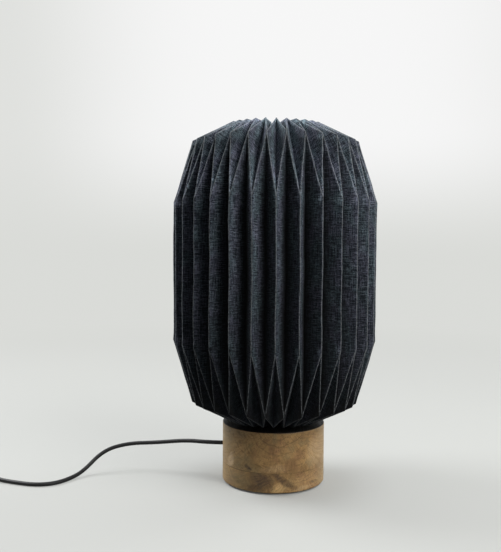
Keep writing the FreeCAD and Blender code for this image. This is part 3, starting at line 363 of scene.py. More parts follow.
def linen():
    """Stiffened slub linen, paler upwards and where it faces up as painted light, darker in the valleys as
    painted shade, with wear and a painted highlight on outward folds.
    """
    graph = Finish("linen")
    flat = graph.add("UVMap", uv_map="flat").outputs[0]

    def woven(waves, detail=1.0, roughness=0.5):
        return graph.noise(graph.stretched(flat, waves), detail=detail, roughness=roughness)

    weft = woven(WEFT_WAVES)
    threads = graph.maths("ADD", weft, woven(WARP_WAVES))
    fine_weft = graph.ramp(woven(FINE_WEFT_WAVES), *NOISE_SPAN)
    fine = graph.maths("ADD", fine_weft, graph.ramp(woven(FINE_WARP_WAVES), *NOISE_SPAN))
    tone = graph.mix(graph.ramp(woven(HUE_WAVES, detail=2.0), *HUE_RAMP), LINEN_TEAL, LINEN_VIOLET)
    colour = graph.mix(graph.ramp(threads, *THREAD_RAMP), LINEN_DARK, tone)
    colour = graph.mix(graph.ramp(weft, *SLUB_RAMP), colour, LINEN_SLUB)
    colour = graph.mix(graph.ramp(weft, *THIN_RAMP), colour, LINEN_SHADOW)
    height = graph.parts(graph.place())[2]
    # The weave's patches, times painted shade in the valleys and painted light upwards and on faces turned
    # up
    valley_floor_shade = graph.ramp(height, *PAINTED_VALLEY_SHADE_RAMP)
    texture_and_painted_light = graph.times(
        graph.ramp(woven(PATCH_WAVES, detail=3.0, roughness=0.6), *PATCH_RAMP),
        graph.ramp(fine, *FINE_RAMP),
        graph.ramp(graph.facing()[2], *PAINTED_TOP_LIGHT_RAMP),
        graph.ramp(height, *PAINTED_HEIGHT_LIGHT_RAMP),
        graph.ramp(graph.attribute("valley_gap"), 0.0, PAINTED_VALLEY_SHADE_DEPTH, valley_floor_shade, PAINTED_VALLEY_EDGE_LIGHT),
    )
    # Outward folds: lighter for wear and for a painted highlight
    frayed = graph.ramp(woven(FRAY_WAVES), *FRAY_RAMP)
    worn_and_highlight = graph.times(graph.ramp(graph.attribute("fold_gap"), *WORN_AND_HIGHLIGHT_RAMP), frayed)
    colour = graph.mix(worn_and_highlight, graph.scaled(colour, texture_and_painted_light), LINEN_WORN_AND_HIGHLIGHT)
    relief = graph.maths("ADD", threads, graph.times(fine, FINE_RELIEF_SHARE))
    return graph.done(base_color=colour, roughness=0.9, specular_ior_level=0.15,
                      normal=graph.bump(relief, *LINEN_BUMP))


# Wood: colours, bends, waves per metre or radian, ramps and bump

SEAM_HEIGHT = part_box("base_lower_block")[1].z
WOOD_PALE = (0.34, 0.206, 0.080)
WOOD_MIDDLE = (0.205, 0.120, 0.045)
WOOD_DEEP = (0.115, 0.062, 0.022)
WOOD_DARK = (0.046, 0.026, 0.011)
WOOD_OLIVE = (0.185, 0.138, 0.064)
WOOD_RED = (0.215, 0.112, 0.050)
WOOD_SIDE = (0.33, 0.235, 0.118)
# Painted shade: the near black given to the top face, under the lamp's shade
WOOD_TOP_SHADE = (0.006, 0.005, 0.0045)
WOOD_BENDS = (((45.0, 8.0, 45.0), 0.010), ((170.0, 20.0, 170.0), 0.003))
RING_WAVES = (640.0, 7.0, 8.0)
RAY_WAVES = (34.0, 60.0, 14.0)
FIBRE_WAVES = (26.0, 120.0, 30.0)
CLOUD_WAVES = (60.0, 12.0, 60.0)
PORE_WAVES = (1100.0, 130.0, 800.0)
DRIFT_WAVES = (95.0, 12.0, 70.0)
DRIFT_OFFSET = (3.1, 0.0, 7.4)
PORE_RAMP = (0.55, 0.70)
PORE_WEIGHT = 0.4
CLOUD_RAMP = (0.32, 0.66)
RED_RAMP = (0.50, 0.66, 0.0, 0.7)
OLIVE_RAMP = (0.46, 0.32, 0.0, 0.6)
DARK_RING_RAMP = (0.52, 0.70, 0.0, 0.6)
PALE_RING_RAMP = (0.46, 0.30, 0.0, 0.5)
RAY_RAMP = (0.50, 0.74, 0.0, 0.45)
FRONT_RAMP = (0.0, -0.02)
MARK_EDGE = (1.25, 0.35)
MARK_BREAK_RAMP = (0.34, 0.64, 1.0, 0.5)
ARC_FADE_ANGLE = 0.2
GLUE_RAMP = (0.0005, 0.0001)
GLUE_BREAK_RAMP = (0.35, 0.6, 0.25, 0.85)
FIBRE_RAMP = (0.30, 0.70, 0.86, 1.16)
SIDE_RAMP = (0.8, 0.3, 0.0, 0.45)
TOP_SHADE_RAMP = (0.3, 0.75)
WOOD_ROUGHNESS_RAMP = (*NOISE_SPAN, 0.40, 0.58)
RAY_RELIEF_SHARE = 0.5
WOOD_BUMP = (0.0002, 0.5)

# Pith of each block: x and z
UPPER_PITH = (0.0065, 0.069)
LOWER_PITH = (0.026, 0.033)

# Dark arcs about the pith: radius, half width, first and last angle from straight down, weight
UPPER_ARCS = (
    (0.0240, 0.0007, -1.2, 1.0, 0.6),
    (0.0165, 0.0005, -0.9, 0.9, 0.5),
    (0.0305, 0.0006, -0.9, 0.3, 0.35),
)
LOWER_ARCS = (
    (0.0225, 0.0005, -0.9, 0.7, 0.4),
    (0.0190, 0.0004, -0.6, 0.7, 0.35),
)

# Marks on the front: middle (x, z), half sizes, turn, colour, weight
UPPER_MARKS = (
    ((-0.030, 0.026), (0.016, 0.010), 0.3, WOOD_OLIVE, 0.7),
    ((-0.043, 0.046), (0.010, 0.014), 0.0, WOOD_OLIVE, 0.6),
    ((-0.0395, 0.028), (0.0035, 0.0085), 0.1, (0.58, 0.42, 0.26), 0.8),
    ((0.001, 0.0245), (0.014, 0.0045), 0.0, (0.46, 0.31, 0.155), 0.6),
    ((0.0165, 0.0275), (0.0075, 0.0055), 0.5, (0.16, 0.082, 0.034), 0.75),
    ((0.039, 0.036), (0.009, 0.016), 0.1, (0.50, 0.35, 0.19), 0.6),
    ((-0.0226, 0.0238), (0.0042, 0.0024), 0.7, (0.045, 0.027, 0.015), 1.0),
)
LOWER_MARKS = (
    ((-0.034, 0.010), (0.014, 0.011), 0.2, WOOD_OLIVE, 0.75),
    ((0.028, 0.010), (0.020, 0.009), 0.0, (0.42, 0.27, 0.12), 0.6),
    ((0.0055, 0.0060), (0.0085, 0.0060), -0.5, (0.56, 0.37, 0.165), 0.85),
    ((0.031, 0.0035), (0.010, 0.0025), 0.0, (0.55, 0.38, 0.20), 0.6),
    ((0.0130, 0.0112), (0.0165, 0.0034), 0.54, (0.058, 0.034, 0.018), 1.0),
    ((0.0030, 0.0180), (0.0075, 0.0024), 0.2, (0.070, 0.041, 0.022), 0.85),
    ((-0.0105, 0.0115), (0.0135, 0.0100), 0.5, (0.056, 0.033, 0.021), 1.0),
    ((-0.0190, 0.0050), (0.0080, 0.0035), 0.3, (0.060, 0.036, 0.020), 0.8),
    ((0.040, 0.0076), (0.0038, 0.0020), 0.2, (0.085, 0.053, 0.03), 0.9),
)


def wood(name, pith, arcs, marks):
    """One oiled board with its grain along Y: rings, rays, pores, glue line, placed marks, and a top face
    darkened near black as painted shade.
    """
    graph = Finish(name)
    place = graph.place()
    bent = place
    for waves, amount in WOOD_BENDS:
        bent = graph.warped(bent, waves, amount)
    x, y, z = graph.parts(bent)
    across = graph.maths("SUBTRACT", x, pith[0])
    down = graph.maths("SUBTRACT", pith[1], z)
    reach = graph.length(graph.vector(across, 0.0, down))
    angle = graph.maths("ARCTAN2", across, down)
    rings = graph.noise(graph.joined((reach, angle, y), RING_WAVES), detail=3.0, roughness=0.6)
    rays = graph.noise(graph.joined((angle, reach, y), RAY_WAVES), detail=4.0, roughness=0.65)
    fibres = graph.noise(graph.joined((angle, reach, y), FIBRE_WAVES), detail=3.0, roughness=0.6)
    clouds = graph.noise(graph.stretched(bent, CLOUD_WAVES), detail=4.0, roughness=0.6)
    drift = graph.noise(graph.shift(graph.stretched(bent, DRIFT_WAVES), DRIFT_OFFSET), detail=3.0)
    pores = graph.ramp(graph.noise(graph.stretched(place, PORE_WAVES), detail=2.0), *PORE_RAMP)
    colour = graph.mix(graph.ramp(clouds, *CLOUD_RAMP), WOOD_MIDDLE, WOOD_PALE)
    for figure, ramp, tint in (
        (drift, RED_RAMP, WOOD_RED),
        (drift, OLIVE_RAMP, WOOD_OLIVE),
        (rings, DARK_RING_RAMP, WOOD_DEEP),
        (rings, PALE_RING_RAMP, WOOD_PALE),
        (rays, RAY_RAMP, WOOD_DEEP),
    ):
        colour = graph.mix(graph.ramp(figure, *ramp), colour, tint)
    front = graph.ramp(y, *FRONT_RAMP)
    for middle, half, turn, tint, weight in marks:
        inputs = {"Vector": graph.vector(x, 0.0, z), "Rotation": (0.0, turn, 0.0),
                  "Location": (middle[0], 0.0, middle[1]), "Scale": (half[0], 1.0, half[1])}
        away = graph.length(graph.add("Mapping", inputs, vector_type="TEXTURE").outputs[0])
        inside = graph.times(graph.ramp(away, *MARK_EDGE, 0.0, weight), front,
                             graph.ramp(rays, *MARK_BREAK_RAMP))
        colour = graph.mix(inside, colour, tint)
    for radius, half_width, first, last, weight in arcs:
        line = graph.times(
            graph.ramp(graph.apart(reach, radius), half_width, 0.0),
            graph.ramp(angle, first - ARC_FADE_ANGLE, first),
            graph.ramp(angle, last + ARC_FADE_ANGLE, last),
            front,
            weight,
        )
        colour = graph.mix(line, colour, WOOD_DARK)
    glue = graph.ramp(graph.apart(graph.parts(place)[2], SEAM_HEIGHT), *GLUE_RAMP)
    glue = graph.times(glue, graph.ramp(clouds, *GLUE_BREAK_RAMP))
    colour = graph.mix(glue, colour, WOOD_DARK)
    colour = graph.mix(graph.times(pores, PORE_WEIGHT), colour, WOOD_DARK)
    colour = graph.scaled(colour, graph.ramp(fibres, *FIBRE_RAMP))
    facing = graph.facing()
    colour = graph.mix(graph.ramp(graph.maths("ABSOLUTE", facing[1]), *SIDE_RAMP), colour, WOOD_SIDE)
    # Painted shade: the top face is made near black, as it lies in the lamp shade's shadow
    colour = graph.mix(graph.ramp(facing[2], *TOP_SHADE_RAMP), colour, WOOD_TOP_SHADE)
    height = graph.maths("SUBTRACT", graph.times(rays, RAY_RELIEF_SHARE), pores)
    return graph.done(base_color=colour, roughness=graph.ramp(rays, *WOOD_ROUGHNESS_RAMP),
                      specular_ior_level=0.35, normal=graph.bump(height, *WOOD_BUMP))


# Plastic, metal and fibres: colours, waves per metre, ramps, and the shares of the colour that patches have

BLACK = (0.012, 0.012, 0.013)
DEEP_BLACK = (0.010, 0.010, 0.011)
SOFT_BLACK = (0.014, 0.014, 0.015)
BLUE_BLACK = (0.012, 0.012, 0.014)
HOLDER_WHITE = (0.62, 0.61, 0.58)
BULB_WHITE = (0.72, 0.72, 0.70)
BULB_OPAL = (0.80, 0.80, 0.78)
BOARD_BROWN = (0.16, 0.10, 0.055)
ZINC = (0.62, 0.63, 0.64)
BRASS = (0.72, 0.50, 0.22)
ALUMINIUM = (0.78, 0.79, 0.80)
NICKEL = (0.66, 0.63, 0.58)
PLASTIC_GRAIN_WAVES = 900.0
BOARD_GRAIN_WAVES = 1600.0
PLASTIC_WEAR_WAVES = 70.0
PLASTIC_WEAR_RAMP = (0.35, 0.7)
PLASTIC_WEAR_SHARE = 0.8
PLASTIC_ROUGHNESS_SPREAD = (-0.06, 0.08)
PLASTIC_BUMP = (0.00006, 0.6)
METAL_LINE_WAVES = (900.0, 900.0, 60.0)
METAL_DULL_WAVES = 160.0
METAL_DULL_RAMP = (0.4, 0.75)
METAL_DULL_SHARE = 0.78
METAL_ROUGHNESS_SPREAD = (-0.07, 0.1)
METAL_BUMP = (0.00003, 0.5)
TUFT_END_RAMP = (0.4, 0.75)
TUFT_END_SHARE = 2.2
TUFT_PATCH_WAVE_SHARE = 0.12
TUFT_PATCH_RAMP = (0.4, 0.7, 0.0, 0.4)
TUFT_PATCH_SHARE = 0.5
TUFT_BUMP_STRENGTH = 0.8
FLEX_SKIN = (0.005, 0.005, 0.0055)
FLEX_DUST = (0.016, 0.016, 0.017)
DUST_WAVES = 420.0
DUST_RAMP = (0.55, 0.85, 0.0, 0.5)
SMEAR_WAVES = 45.0
SMEAR_ROUGHNESS_RAMP = (*NOISE_SPAN, 0.46, 0.6)
FLEX_BUMP = (0.00004, 0.5)


def moulded(name, colour, roughness, grain=PLASTIC_GRAIN_WAVES, **extra):
    """Moulded plastic with a fine spark-eroded grain and faint patches of wear, or pressed board."""
    graph = Finish(name)
    place = graph.place()
    fine = graph.noise(place, grain, detail=3.0)
    broad = graph.noise(place, PLASTIC_WEAR_WAVES, detail=3.0)
    shade = graph.mix(graph.ramp(broad, *PLASTIC_WEAR_RAMP), colour, toned(colour, PLASTIC_WEAR_SHARE))
    return graph.done(base_color=shade, roughness=graph.gloss(broad, roughness, PLASTIC_ROUGHNESS_SPREAD),
                      normal=graph.bump(fine, *PLASTIC_BUMP), **extra)


def metal(name, colour, roughness):
    """Drawn or turned metal with fine lines and slightly duller patches."""
    graph = Finish(name)
    place = graph.place()
    lines = graph.noise(graph.stretched(place, METAL_LINE_WAVES), detail=3.0)
    dull = graph.noise(place, METAL_DULL_WAVES, detail=3.0)
    shade = graph.mix(graph.ramp(dull, *METAL_DULL_RAMP), colour, toned(colour, METAL_DULL_SHARE))
    return graph.done(base_color=shade, metallic=1.0,
                      roughness=graph.gloss(lines, roughness, METAL_ROUGHNESS_SPREAD),
                      normal=graph.bump(lines, *METAL_BUMP))


def fibrous(name, colour, waves, depth):
    """Felt, webbing or thread: tangled fibres with light ends."""
    graph = Finish(name)
    place = graph.place()
    fibres = graph.noise(place, waves, detail=5.0, roughness=0.7)
    patches = graph.noise(place, waves * TUFT_PATCH_WAVE_SHARE, detail=2.0)
    shade = graph.mix(graph.ramp(fibres, *TUFT_END_RAMP), colour, toned(colour, TUFT_END_SHARE))
    shade = graph.mix(graph.ramp(patches, *TUFT_PATCH_RAMP), shade, toned(colour, TUFT_PATCH_SHARE))
    return graph.done(base_color=shade, roughness=0.95, sheen_weight=0.3,
                      normal=graph.bump(fibres, depth, TUFT_BUMP_STRENGTH))


def flex_cover():
    """Extruded PVC: a satin skin with soft smears and a little dust."""
    graph = Finish("flex_cover")
    place = graph.place()
    dust = graph.noise(place, DUST_WAVES, detail=4.0, roughness=0.7)
    smears = graph.noise(place, SMEAR_WAVES, detail=3.0)
    shade = graph.mix(graph.ramp(dust, *DUST_RAMP), FLEX_SKIN, FLEX_DUST)
    return graph.done(base_color=shade, roughness=graph.ramp(smears, *SMEAR_ROUGHNESS_RAMP),
                      specular_ior_level=0.25, normal=graph.bump(dust, *FLEX_BUMP))


# Camera, floor and light

BACKGROUND = (0.70, 0.71, 0.685)
SKY = (0.925, 0.925, 0.925)
FLOOR_REACH = 12.0
FLOOR_CLOUD_WAVES = 3.0
FLOOR_TINTS = ((0.36, 0.365, 0.352), (0.38, 0.385, 0.372))
FLOOR_BOUNCE = (0.08, 0.08, 0.08)
FLOOR_GLOW_RAMP = (0.1, 1.5, 0.5, 1.0)
FLOOR_FOOT_RAMP = (0.048, 0.13, 0.15, 1.0)
WALL_LIGHT = (0.95, 0.975, 1.0)
WALL_TILT = 0.25
WALL_LIGHT_RAMP = (-0.1, 0.8, 0.03, 0.9)
SKY_MIDDLE = 0.05
SKY_SIDE_RAMP = (0.0, 0.16, 0.0, 0.8)
HORIZON_RAMP = (-0.02, 0.16)

# Lights: name, place, aim, width, power in watts, colour
LIGHTS = (
    ("key", (0.86, -0.83, 1.0), (0.0, 0.0, 0.2), 1.0, 24.0, (1.0, 0.99, 0.97)),
    ("side", (-1.2, 0.4, 1.25), (0.0, 0.0, 0.2), 0.9, 36.0, (0.98, 0.99, 1.0)),
    ("ceiling", (0.0, 0.05, 1.7), (0.0, 0.0, 0.3), 0.9, 5.0, (0.97, 0.985, 1.0)),
    ("rim", (1.2, 0.7, 1.2), (0.0, 0.0, 0.2), 0.8, 15.0, (0.98, 0.99, 1.0)),
)


def add_object(name, data):
    added = bpy.data.objects.new(name, data)
    scene.collection.objects.link(added)
    return added


def to_mesh(name, shape):
    mesh = bpy.data.meshes.new(name)
    shape.to_mesh(mesh)
    shape.free()
    return mesh


def make_camera():
    """The photograph's view, turned by yaw, pitch and roll."""
    camera = add_object("camera", bpy.data.cameras.new("camera"))
    camera.data.lens = CAMERA_LENS
    ahead = Vector((-math.sin(CAMERA_YAW) * math.cos(CAMERA_PITCH),
                    math.cos(CAMERA_YAW) * math.cos(CAMERA_PITCH), -math.sin(CAMERA_PITCH)))
    level = Vector((math.cos(CAMERA_YAW), math.sin(CAMERA_YAW), 0.0))
    upright = level.cross(ahead)
    right = level * math.cos(CAMERA_ROLL) + upright * math.sin(CAMERA_ROLL)
    top = upright * math.cos(CAMERA_ROLL) - level * math.sin(CAMERA_ROLL)
    turn = Matrix((right, top, -ahead)).transposed().to_4x4()
    camera.matrix_world = Matrix.Translation(CAMERA_PLACE) @ turn
    scene.camera = camera


def make_floor():
    """A pale floor that takes the lamp's shadow and fades into the plain background away from it."""
    graph = Finish("floor")
    shape = bmesh.new()
    bmesh.ops.create_grid(shape, x_segments=2, y_segments=2, size=FLOOR_REACH)
    mesh = to_mesh("floor", shape)
    floor = add_object("floor", mesh)
    place = graph.place()
    away = graph.length(place)
    seen = graph.viewed()
    fade = graph.times(graph.ramp(away, *FLOOR_GLOW_RAMP), graph.ramp(away, *FLOOR_FOOT_RAMP), seen)
    tint = graph.mix(graph.noise(place, FLOOR_CLOUD_WAVES), *FLOOR_TINTS)
    graph.done(base_color=graph.mix(seen, FLOOR_BOUNCE, tint), roughness=0.85, specular_ior_level=0.2)
    glow = graph.add("Emission", {"Color": BACKGROUND, "Strength": 1.0})
    graph.surface(fade, graph.shader, glow)
    mesh.materials.append(graph.material)


def make_world():
    """Pale walls behind and above the lamp light it; the room in front of it is darker."""
    scene.world = bpy.data.worlds.new("studio")
    graph = Graph(scene.world)
    x, y, z = graph.parts(graph.add("TexCoord").outputs["Generated"])
    strength = graph.ramp(graph.maths("MULTIPLY_ADD", z, WALL_TILT, y), *WALL_LIGHT_RAMP)
    light = graph.add("Background", {"Color": WALL_LIGHT, "Strength": strength})
    aside = graph.maths("POWER", graph.maths("SUBTRACT", x, SKY_MIDDLE), 2.0)
    wall = graph.mix(graph.ramp(aside, *SKY_SIDE_RAMP), SKY, BACKGROUND)
    backdrop = graph.add("Background", {"Color": graph.mix(graph.ramp(z, *HORIZON_RAMP), BACKGROUND, wall)})
    graph.surface(graph.viewed(), light, backdrop)


def make_light(name, place, aim, width, power, colour):
    """A round soft light that faces its aim."""
    data = bpy.data.lights.new(name, "AREA")
    data.shape = "DISK"
    data.size = width
    data.energy = power
    data.color = colour
    light = add_object(name, data)
    light.location = place
    light.rotation_euler = (Vector(aim) - Vector(place)).to_track_quat("-Z", "Y").to_euler()


# Pieces

def make_piece(name, data, material, body, slot, *replaced):
    """Links a mesh or curve as a piece that rides on a body and stands for CAD nodes."""
    piece = add_object(name, data)
    data.materials.append(material)
    if isinstance(data, bpy.types.Mesh):
        data.shade_smooth()
    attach(piece, body)
    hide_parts(*replaced)
    return piece


def dress(material, *names):
    """Gives CAD nodes a material."""
    for name in names:
        data = nodes[name].data
        data.materials.clear()
        data.materials.append(material)


def thicken(piece, thickness, offset):
    modifier = piece.modifiers.new("thickness", "SOLIDIFY")
    modifier.thickness = thickness
    modifier.offset = offset


def round_curve(name, radius, bevel_steps):
    curve = bpy.data.curves.new(name, "CURVE")
    curve.dimensions = "3D"
    curve.bevel_depth = radius
    curve.bevel_resolution = bevel_steps
    return curve


def add_spline(curve, points, steps_per_point):
    """Adds a smooth line that is drawn along by its points."""
    spline = curve.splines.new("NURBS")
    spline.points.add(len(points) - 1)
    for control, point in zip(spline.points, points):
        control.co = (*point, 1.0)
    spline.order_u = CURVE_ORDER
    spline.resolution_u = steps_per_point
    return spline


def make_flex(name, points, material, *replaced):
    """A length of flex on one smooth curve."""
    curve = round_curve(name, FLEX_RADIUS, FLEX_BEVEL_STEPS)
    curve.use_fill_caps = True
    add_spline(curve, points, FLEX_STEPS_PER_POINT).use_endpoint_u = True
    return make_piece(name, curve, material, "root", "flex_black", *replaced)


def coil_points():
    """Control points of the put-away coil, which spirals in and out and climbs where it turns back."""
    layer_turns = COIL_TURNS / COIL_LAYERS
    count = round(COIL_TURNS * COIL_POINTS_PER_TURN)
    points = []
    for number in range(count + 1):
        turn = COIL_TURNS * number / count
        along = turn % (2 * layer_turns)
        radius = COIL_RADIUS - COIL_PITCH * min(along, 2 * layer_turns - along)
        layer = round(turn / layer_turns)
        past = (turn - layer * layer_turns) / COIL_CLIMB_TURNS
        level = layer - 1 + min(max(past + 0.5, 0.0), 1.0)
        climb = COIL_PITCH * min(max(level, 0.0), COIL_LAYERS - 1)
        angle = math.pi / 2 + 2 * math.pi * turn
        points.append((COIL_CENTRE[0] + radius * math.cos(angle),
                       COIL_CENTRE[1] + radius * math.sin(angle), COIL_CENTRE[2] + climb))
    return points


def crossing(first, first_reach, second, second_reach):
    """The lower point nearer the axis that lies at two distances from two (radius, height) points."""
    run, climb = second[0] - first[0], second[1] - first[1]
    apart = math.hypot(run, climb)
    along = (first_reach**2 - second_reach**2 + apart**2) / (2 * apart)
    aside = math.sqrt(first_reach**2 - along**2)
    east, north = run / apart, climb / apart
    return first[0] + east * along - abs(north) * aside, first[1] + north * along - abs(east) * aside


class Folds:
    """The fold corners of a half pleat: where they lie on the flat sheet, and their radius and height."""

    def __init__(self, seat):
        self.half_step = math.pi / PLEAT_COUNT
        upper = self.shoulder(UPPER_SHOULDER, 0.0)
        lower = self.shoulder(LOWER_SHOULDER, LOWER_CROWN_RISE)
        lower_level = seat + lower["R5"][1]
        mirrored = {"R3": "R2", "R4": "R1", "R5": "R0", "V2": "V1", "V3": "V0"}
        self.round = {}
        for name, below in mirrored.items():
            self.round[name] = (upper[name][0], lower_level + BAND_HEIGHT + upper[name][1])
            self.round[below] = (lower[name][0], lower_level - lower[name][1])
        upper_crown = math.dist(upper["R4"], upper["R5"])
        lower_crown = math.dist(lower["R4"], lower["R5"])
        ridge = np.cumsum([0.0, lower_crown, LOWER_SHOULDER + BROW_HEIGHT, BAND_HEIGHT,
                           UPPER_SHOULDER + BROW_HEIGHT, upper_crown])
        valley = np.cumsum([0.0, BROW_HEIGHT + lower_crown,
                            LOWER_SHOULDER + BAND_HEIGHT + UPPER_SHOULDER, BROW_HEIGHT + upper_crown])
        self.flat = {f"R{index}": (0.0, along) for index, along in enumerate(ridge)}
        self.flat |= {f"V{index}": (PLEAT_WIDTH, along) for index, along in enumerate(valley)}
        self.length = ridge[-1]
        self.names = sorted(self.flat)

    def shoulder(self, height, crown_rise):
        """The (radius, height) of the corners past the band, for a shoulder of this height on the sheet and
        a crown whose hole lies this much further from the band than its brow."""
        cos_step, sin_step = math.cos(self.half_step), math.sin(self.half_step)
        valley = RIDGE_RADIUS * cos_step - math.sqrt(PLEAT_WIDTH**2 - (RIDGE_RADIUS * sin_step) ** 2)
        brow_reach = math.sqrt(PLEAT_WIDTH**2 + BROW_HEIGHT**2 - (valley * sin_step) ** 2)
        brow = crossing((RIDGE_RADIUS, 0.0), height + BROW_HEIGHT, (valley * cos_step, height), brow_reach)
        hole = (HOLE_RADIUS, brow[1] + crown_rise)
        end_reach = math.sqrt(PLEAT_WIDTH**2 - (HOLE_RADIUS * sin_step) ** 2)
        valley_end = crossing((valley, height), BROW_HEIGHT + math.dist(brow, hole),
                              (HOLE_RADIUS * cos_step, hole[1]), end_reach)
        return {"R3": (RIDGE_RADIUS, 0.0), "R4": brow, "R5": hole,
                "V2": (valley, height), "V3": valley_end}

    def corners(self, pleat, way):
        """The corners of one half pleat in the lamp's frame, in the order of their names."""
        ridge_angle = SHADE_TURN + 2 * self.half_step * pleat
        places = []
        for name in self.names:
            radius, height = self.round[name]
            angle = ridge_angle + (way * self.half_step if name[0] == "V" else 0.0)
            places.append((radius * math.cos(angle), radius * math.sin(angle), height))
        return np.array(places)

    def gaps(self, points, lines):
        """The distance of each flat point from the nearest of the lines."""
        nearest = np.full(len(points), np.inf)
        for first, last in lines:
            start, end = np.array(self.flat[first]), np.array(self.flat[last])
            way = end - start
            share = np.clip((points - start) @ way / (way @ way), 0.0, 1.0)
            nearest = np.minimum(nearest, np.linalg.norm(points - start - share[:, None] * way, axis=1))
        return nearest

    def weights(self, points):
        """How much each corner counts in each flat point, from the face that the point lies in."""
        best = np.full(len(points), -np.inf)
        weights = np.zeros((len(points), len(self.names)))
        for face in FLAT_FACES:
            matrix = np.array([(*self.flat[name], 1.0) for name in face]).T
            shares = np.linalg.solve(matrix, np.column_stack([points, np.ones(len(points))]).T).T
            inside = shares.min(axis=1)
            better = inside > best
            best[better] = inside[better]
            weights[better] = 0.0
            for index, name in enumerate(face):
                weights[better, self.names.index(name)] = shares[better, index]
        return weights

    def line(self, first, last):
        """Points a step apart on the flat line between two corners."""
        start, end = self.flat[first], self.flat[last]
        count = max(1, round(math.dist(start, end) / MESH_STEP))
        return np.linspace(start, end, count + 1)


def flat_mesh(folds):
    """Points and triangles of a flat half pleat, with rows of points close to each fold."""
    points, edges = [], []
    for corners in EVERY_LINE:
        line = folds.line(*corners)
        edges += [(len(points) + index, len(points) + index + 1) for index in range(len(line) - 1)]
        points += list(line)
    for corners in EVERY_FOLD:
        line = folds.line(*corners)
        way = (line[-1] - line[0]) / np.linalg.norm(line[-1] - line[0])
        aside = np.array((-way[1], way[0]))
        for row in (NEAR_ROW, FAR_ROW, -NEAR_ROW, -FAR_ROW):
            beside = line[1:-1] + aside * row
            clear = folds.gaps(beside, EVERY_LINE) > ROW_ROOM_SHARE * abs(row)
            clear &= (beside[:, 0] > 0.0) & (beside[:, 0] < PLEAT_WIDTH)
            points += list(beside[clear])
    lattice = np.array([
        (across + (0.5 * MESH_STEP if row % 2 else 0.0), row * MESH_STEP * LATTICE_RISE_SHARE)
        for row in range(1, int(folds.length / MESH_STEP / LATTICE_RISE_SHARE))
        for across in np.arange(LATTICE_START_SHARE * MESH_STEP, PLEAT_WIDTH, MESH_STEP)
    ])
    room = FAR_ROW + LATTICE_ROOM_SHARE * MESH_STEP
    free = (folds.gaps(lattice, EVERY_LINE) > room) & (lattice[:, 0] < PLEAT_WIDTH)
    points += list(lattice[free])
    found = geometry.delaunay_2d_cdt([Vector(point) for point in points], edges, [], 0, SAME_POINT_GAP)
    return np.array([tuple(point) for point in found[0]]), np.array(found[2])


def make_shade(material):
    """The folded sheet, made from flat half pleats and then eased at its folds as stiff cloth is."""
    folds = Folds(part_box("shade_sheet")[0].z)
    flat, triangles = flat_mesh(folds)
    weights = folds.weights(flat)
    places, faces, sheet_places = [], [], []
    for pleat in range(PLEAT_COUNT):
        for way in (1, -1):
            faces.append((triangles if way < 0 else triangles[:, ::-1]) + len(flat) * len(places))
            places.append(weights @ folds.corners(pleat, way))
            sheet_places.append(np.column_stack([2 * PLEAT_WIDTH * pleat + way * flat[:, 0], flat[:, 1]]))
    mesh = bpy.data.meshes.new("shade")
    mesh.from_pydata(np.concatenate(places), [], np.concatenate(faces))
    corner_points = np.empty(len(mesh.loops), int)
    mesh.loops.foreach_get("vertex_index", corner_points)
    layout = mesh.uv_layers.new(name="flat")
    layout.data.foreach_set("uv", np.concatenate(sheet_places)[corner_points].astype(np.float32).ravel())
    for name, values in (
        ("fold_gap", folds.gaps(flat, OUTWARD_FOLDS)),
        ("valley_gap", folds.gaps(flat, DEEP_FOLDS)),
        ("on_fold", folds.gaps(flat, EVERY_FOLD) < MERGE_GAP),
        ("at_corner", weights.max(axis=1) > CORNER_WEIGHT),
    ):
        attribute = mesh.attributes.new(name, "FLOAT", "POINT")
        attribute.data.foreach_set("value", np.tile(values, 2 * PLEAT_COUNT).astype(np.float32))
    ease_folds(mesh)
    shade = make_piece("folded_shade", mesh, material, "root", "shade_linen", "shade_sheet")
    thicken(shade, SHEET_THICK, -1.0)
    float(folds.length)


def ease_folds(mesh):
    """Joins the half pleats, rounds the folds a little and lets the sheet waver."""
    shape = bmesh.new()
    shape.from_mesh(mesh)
    bmesh.ops.remove_doubles(shape, verts=shape.verts, dist=MERGE_GAP)
    on_fold = shape.verts.layers.float["on_fold"]
    at_corner = shape.verts.layers.float["at_corner"]
    moved = {}
    for vert in shape.verts:
        if vert[on_fold] < 0.5 or vert[at_corner] > 0.5 or vert.is_boundary:
            continue
        beside = [edge.other_vert(vert) for edge in vert.link_edges]
        beside = [other.co for other in beside if other[on_fold] < 0.5]
        if beside:
            moved[vert] = vert.co.lerp(sum(beside, Vector()) / len(beside), FOLD_ROUND_SHARE)
    for vert, place in moved.items():
        vert.co = place
    noise.seed_set(WAVER_SEED)
    for vert in shape.verts:
        vert.co += sum((noise.noise_vector(vert.co * waves) * height for waves, height in WAVERS), Vector())
    shape.to_mesh(mesh)
    shape.free()
    for name in ("on_fold", "at_corner"):
        mesh.attributes.remove(mesh.attributes[name])


def spun(name, profile, place, ripple, steps=SPIN_STEPS):
    """A mesh turned about an axis from (radius, height) points; ripple(angle, height) adds to the radius."""
    shape = bmesh.new()
    rows = []
    for radius, height in profile:
        row = []
        for step in range(steps if radius else 1):
            angle = 2 * math.pi * step / steps
            reach = radius + (ripple(angle, height) if radius else 0.0)
            row.append(shape.verts.new((reach * math.cos(angle), reach * math.sin(angle), height)))
        rows.append(row)
    for lower, upper in zip(rows, rows[1:]):
        for step in range(steps):
            after = step + 1
            corners = (lower[step % len(lower)], lower[after % len(lower)],
                       upper[after % len(upper)], upper[step % len(upper)])
            shape.faces.new(dict.fromkeys(corners))
    shape.transform(place)
    return to_mesh(name, shape)


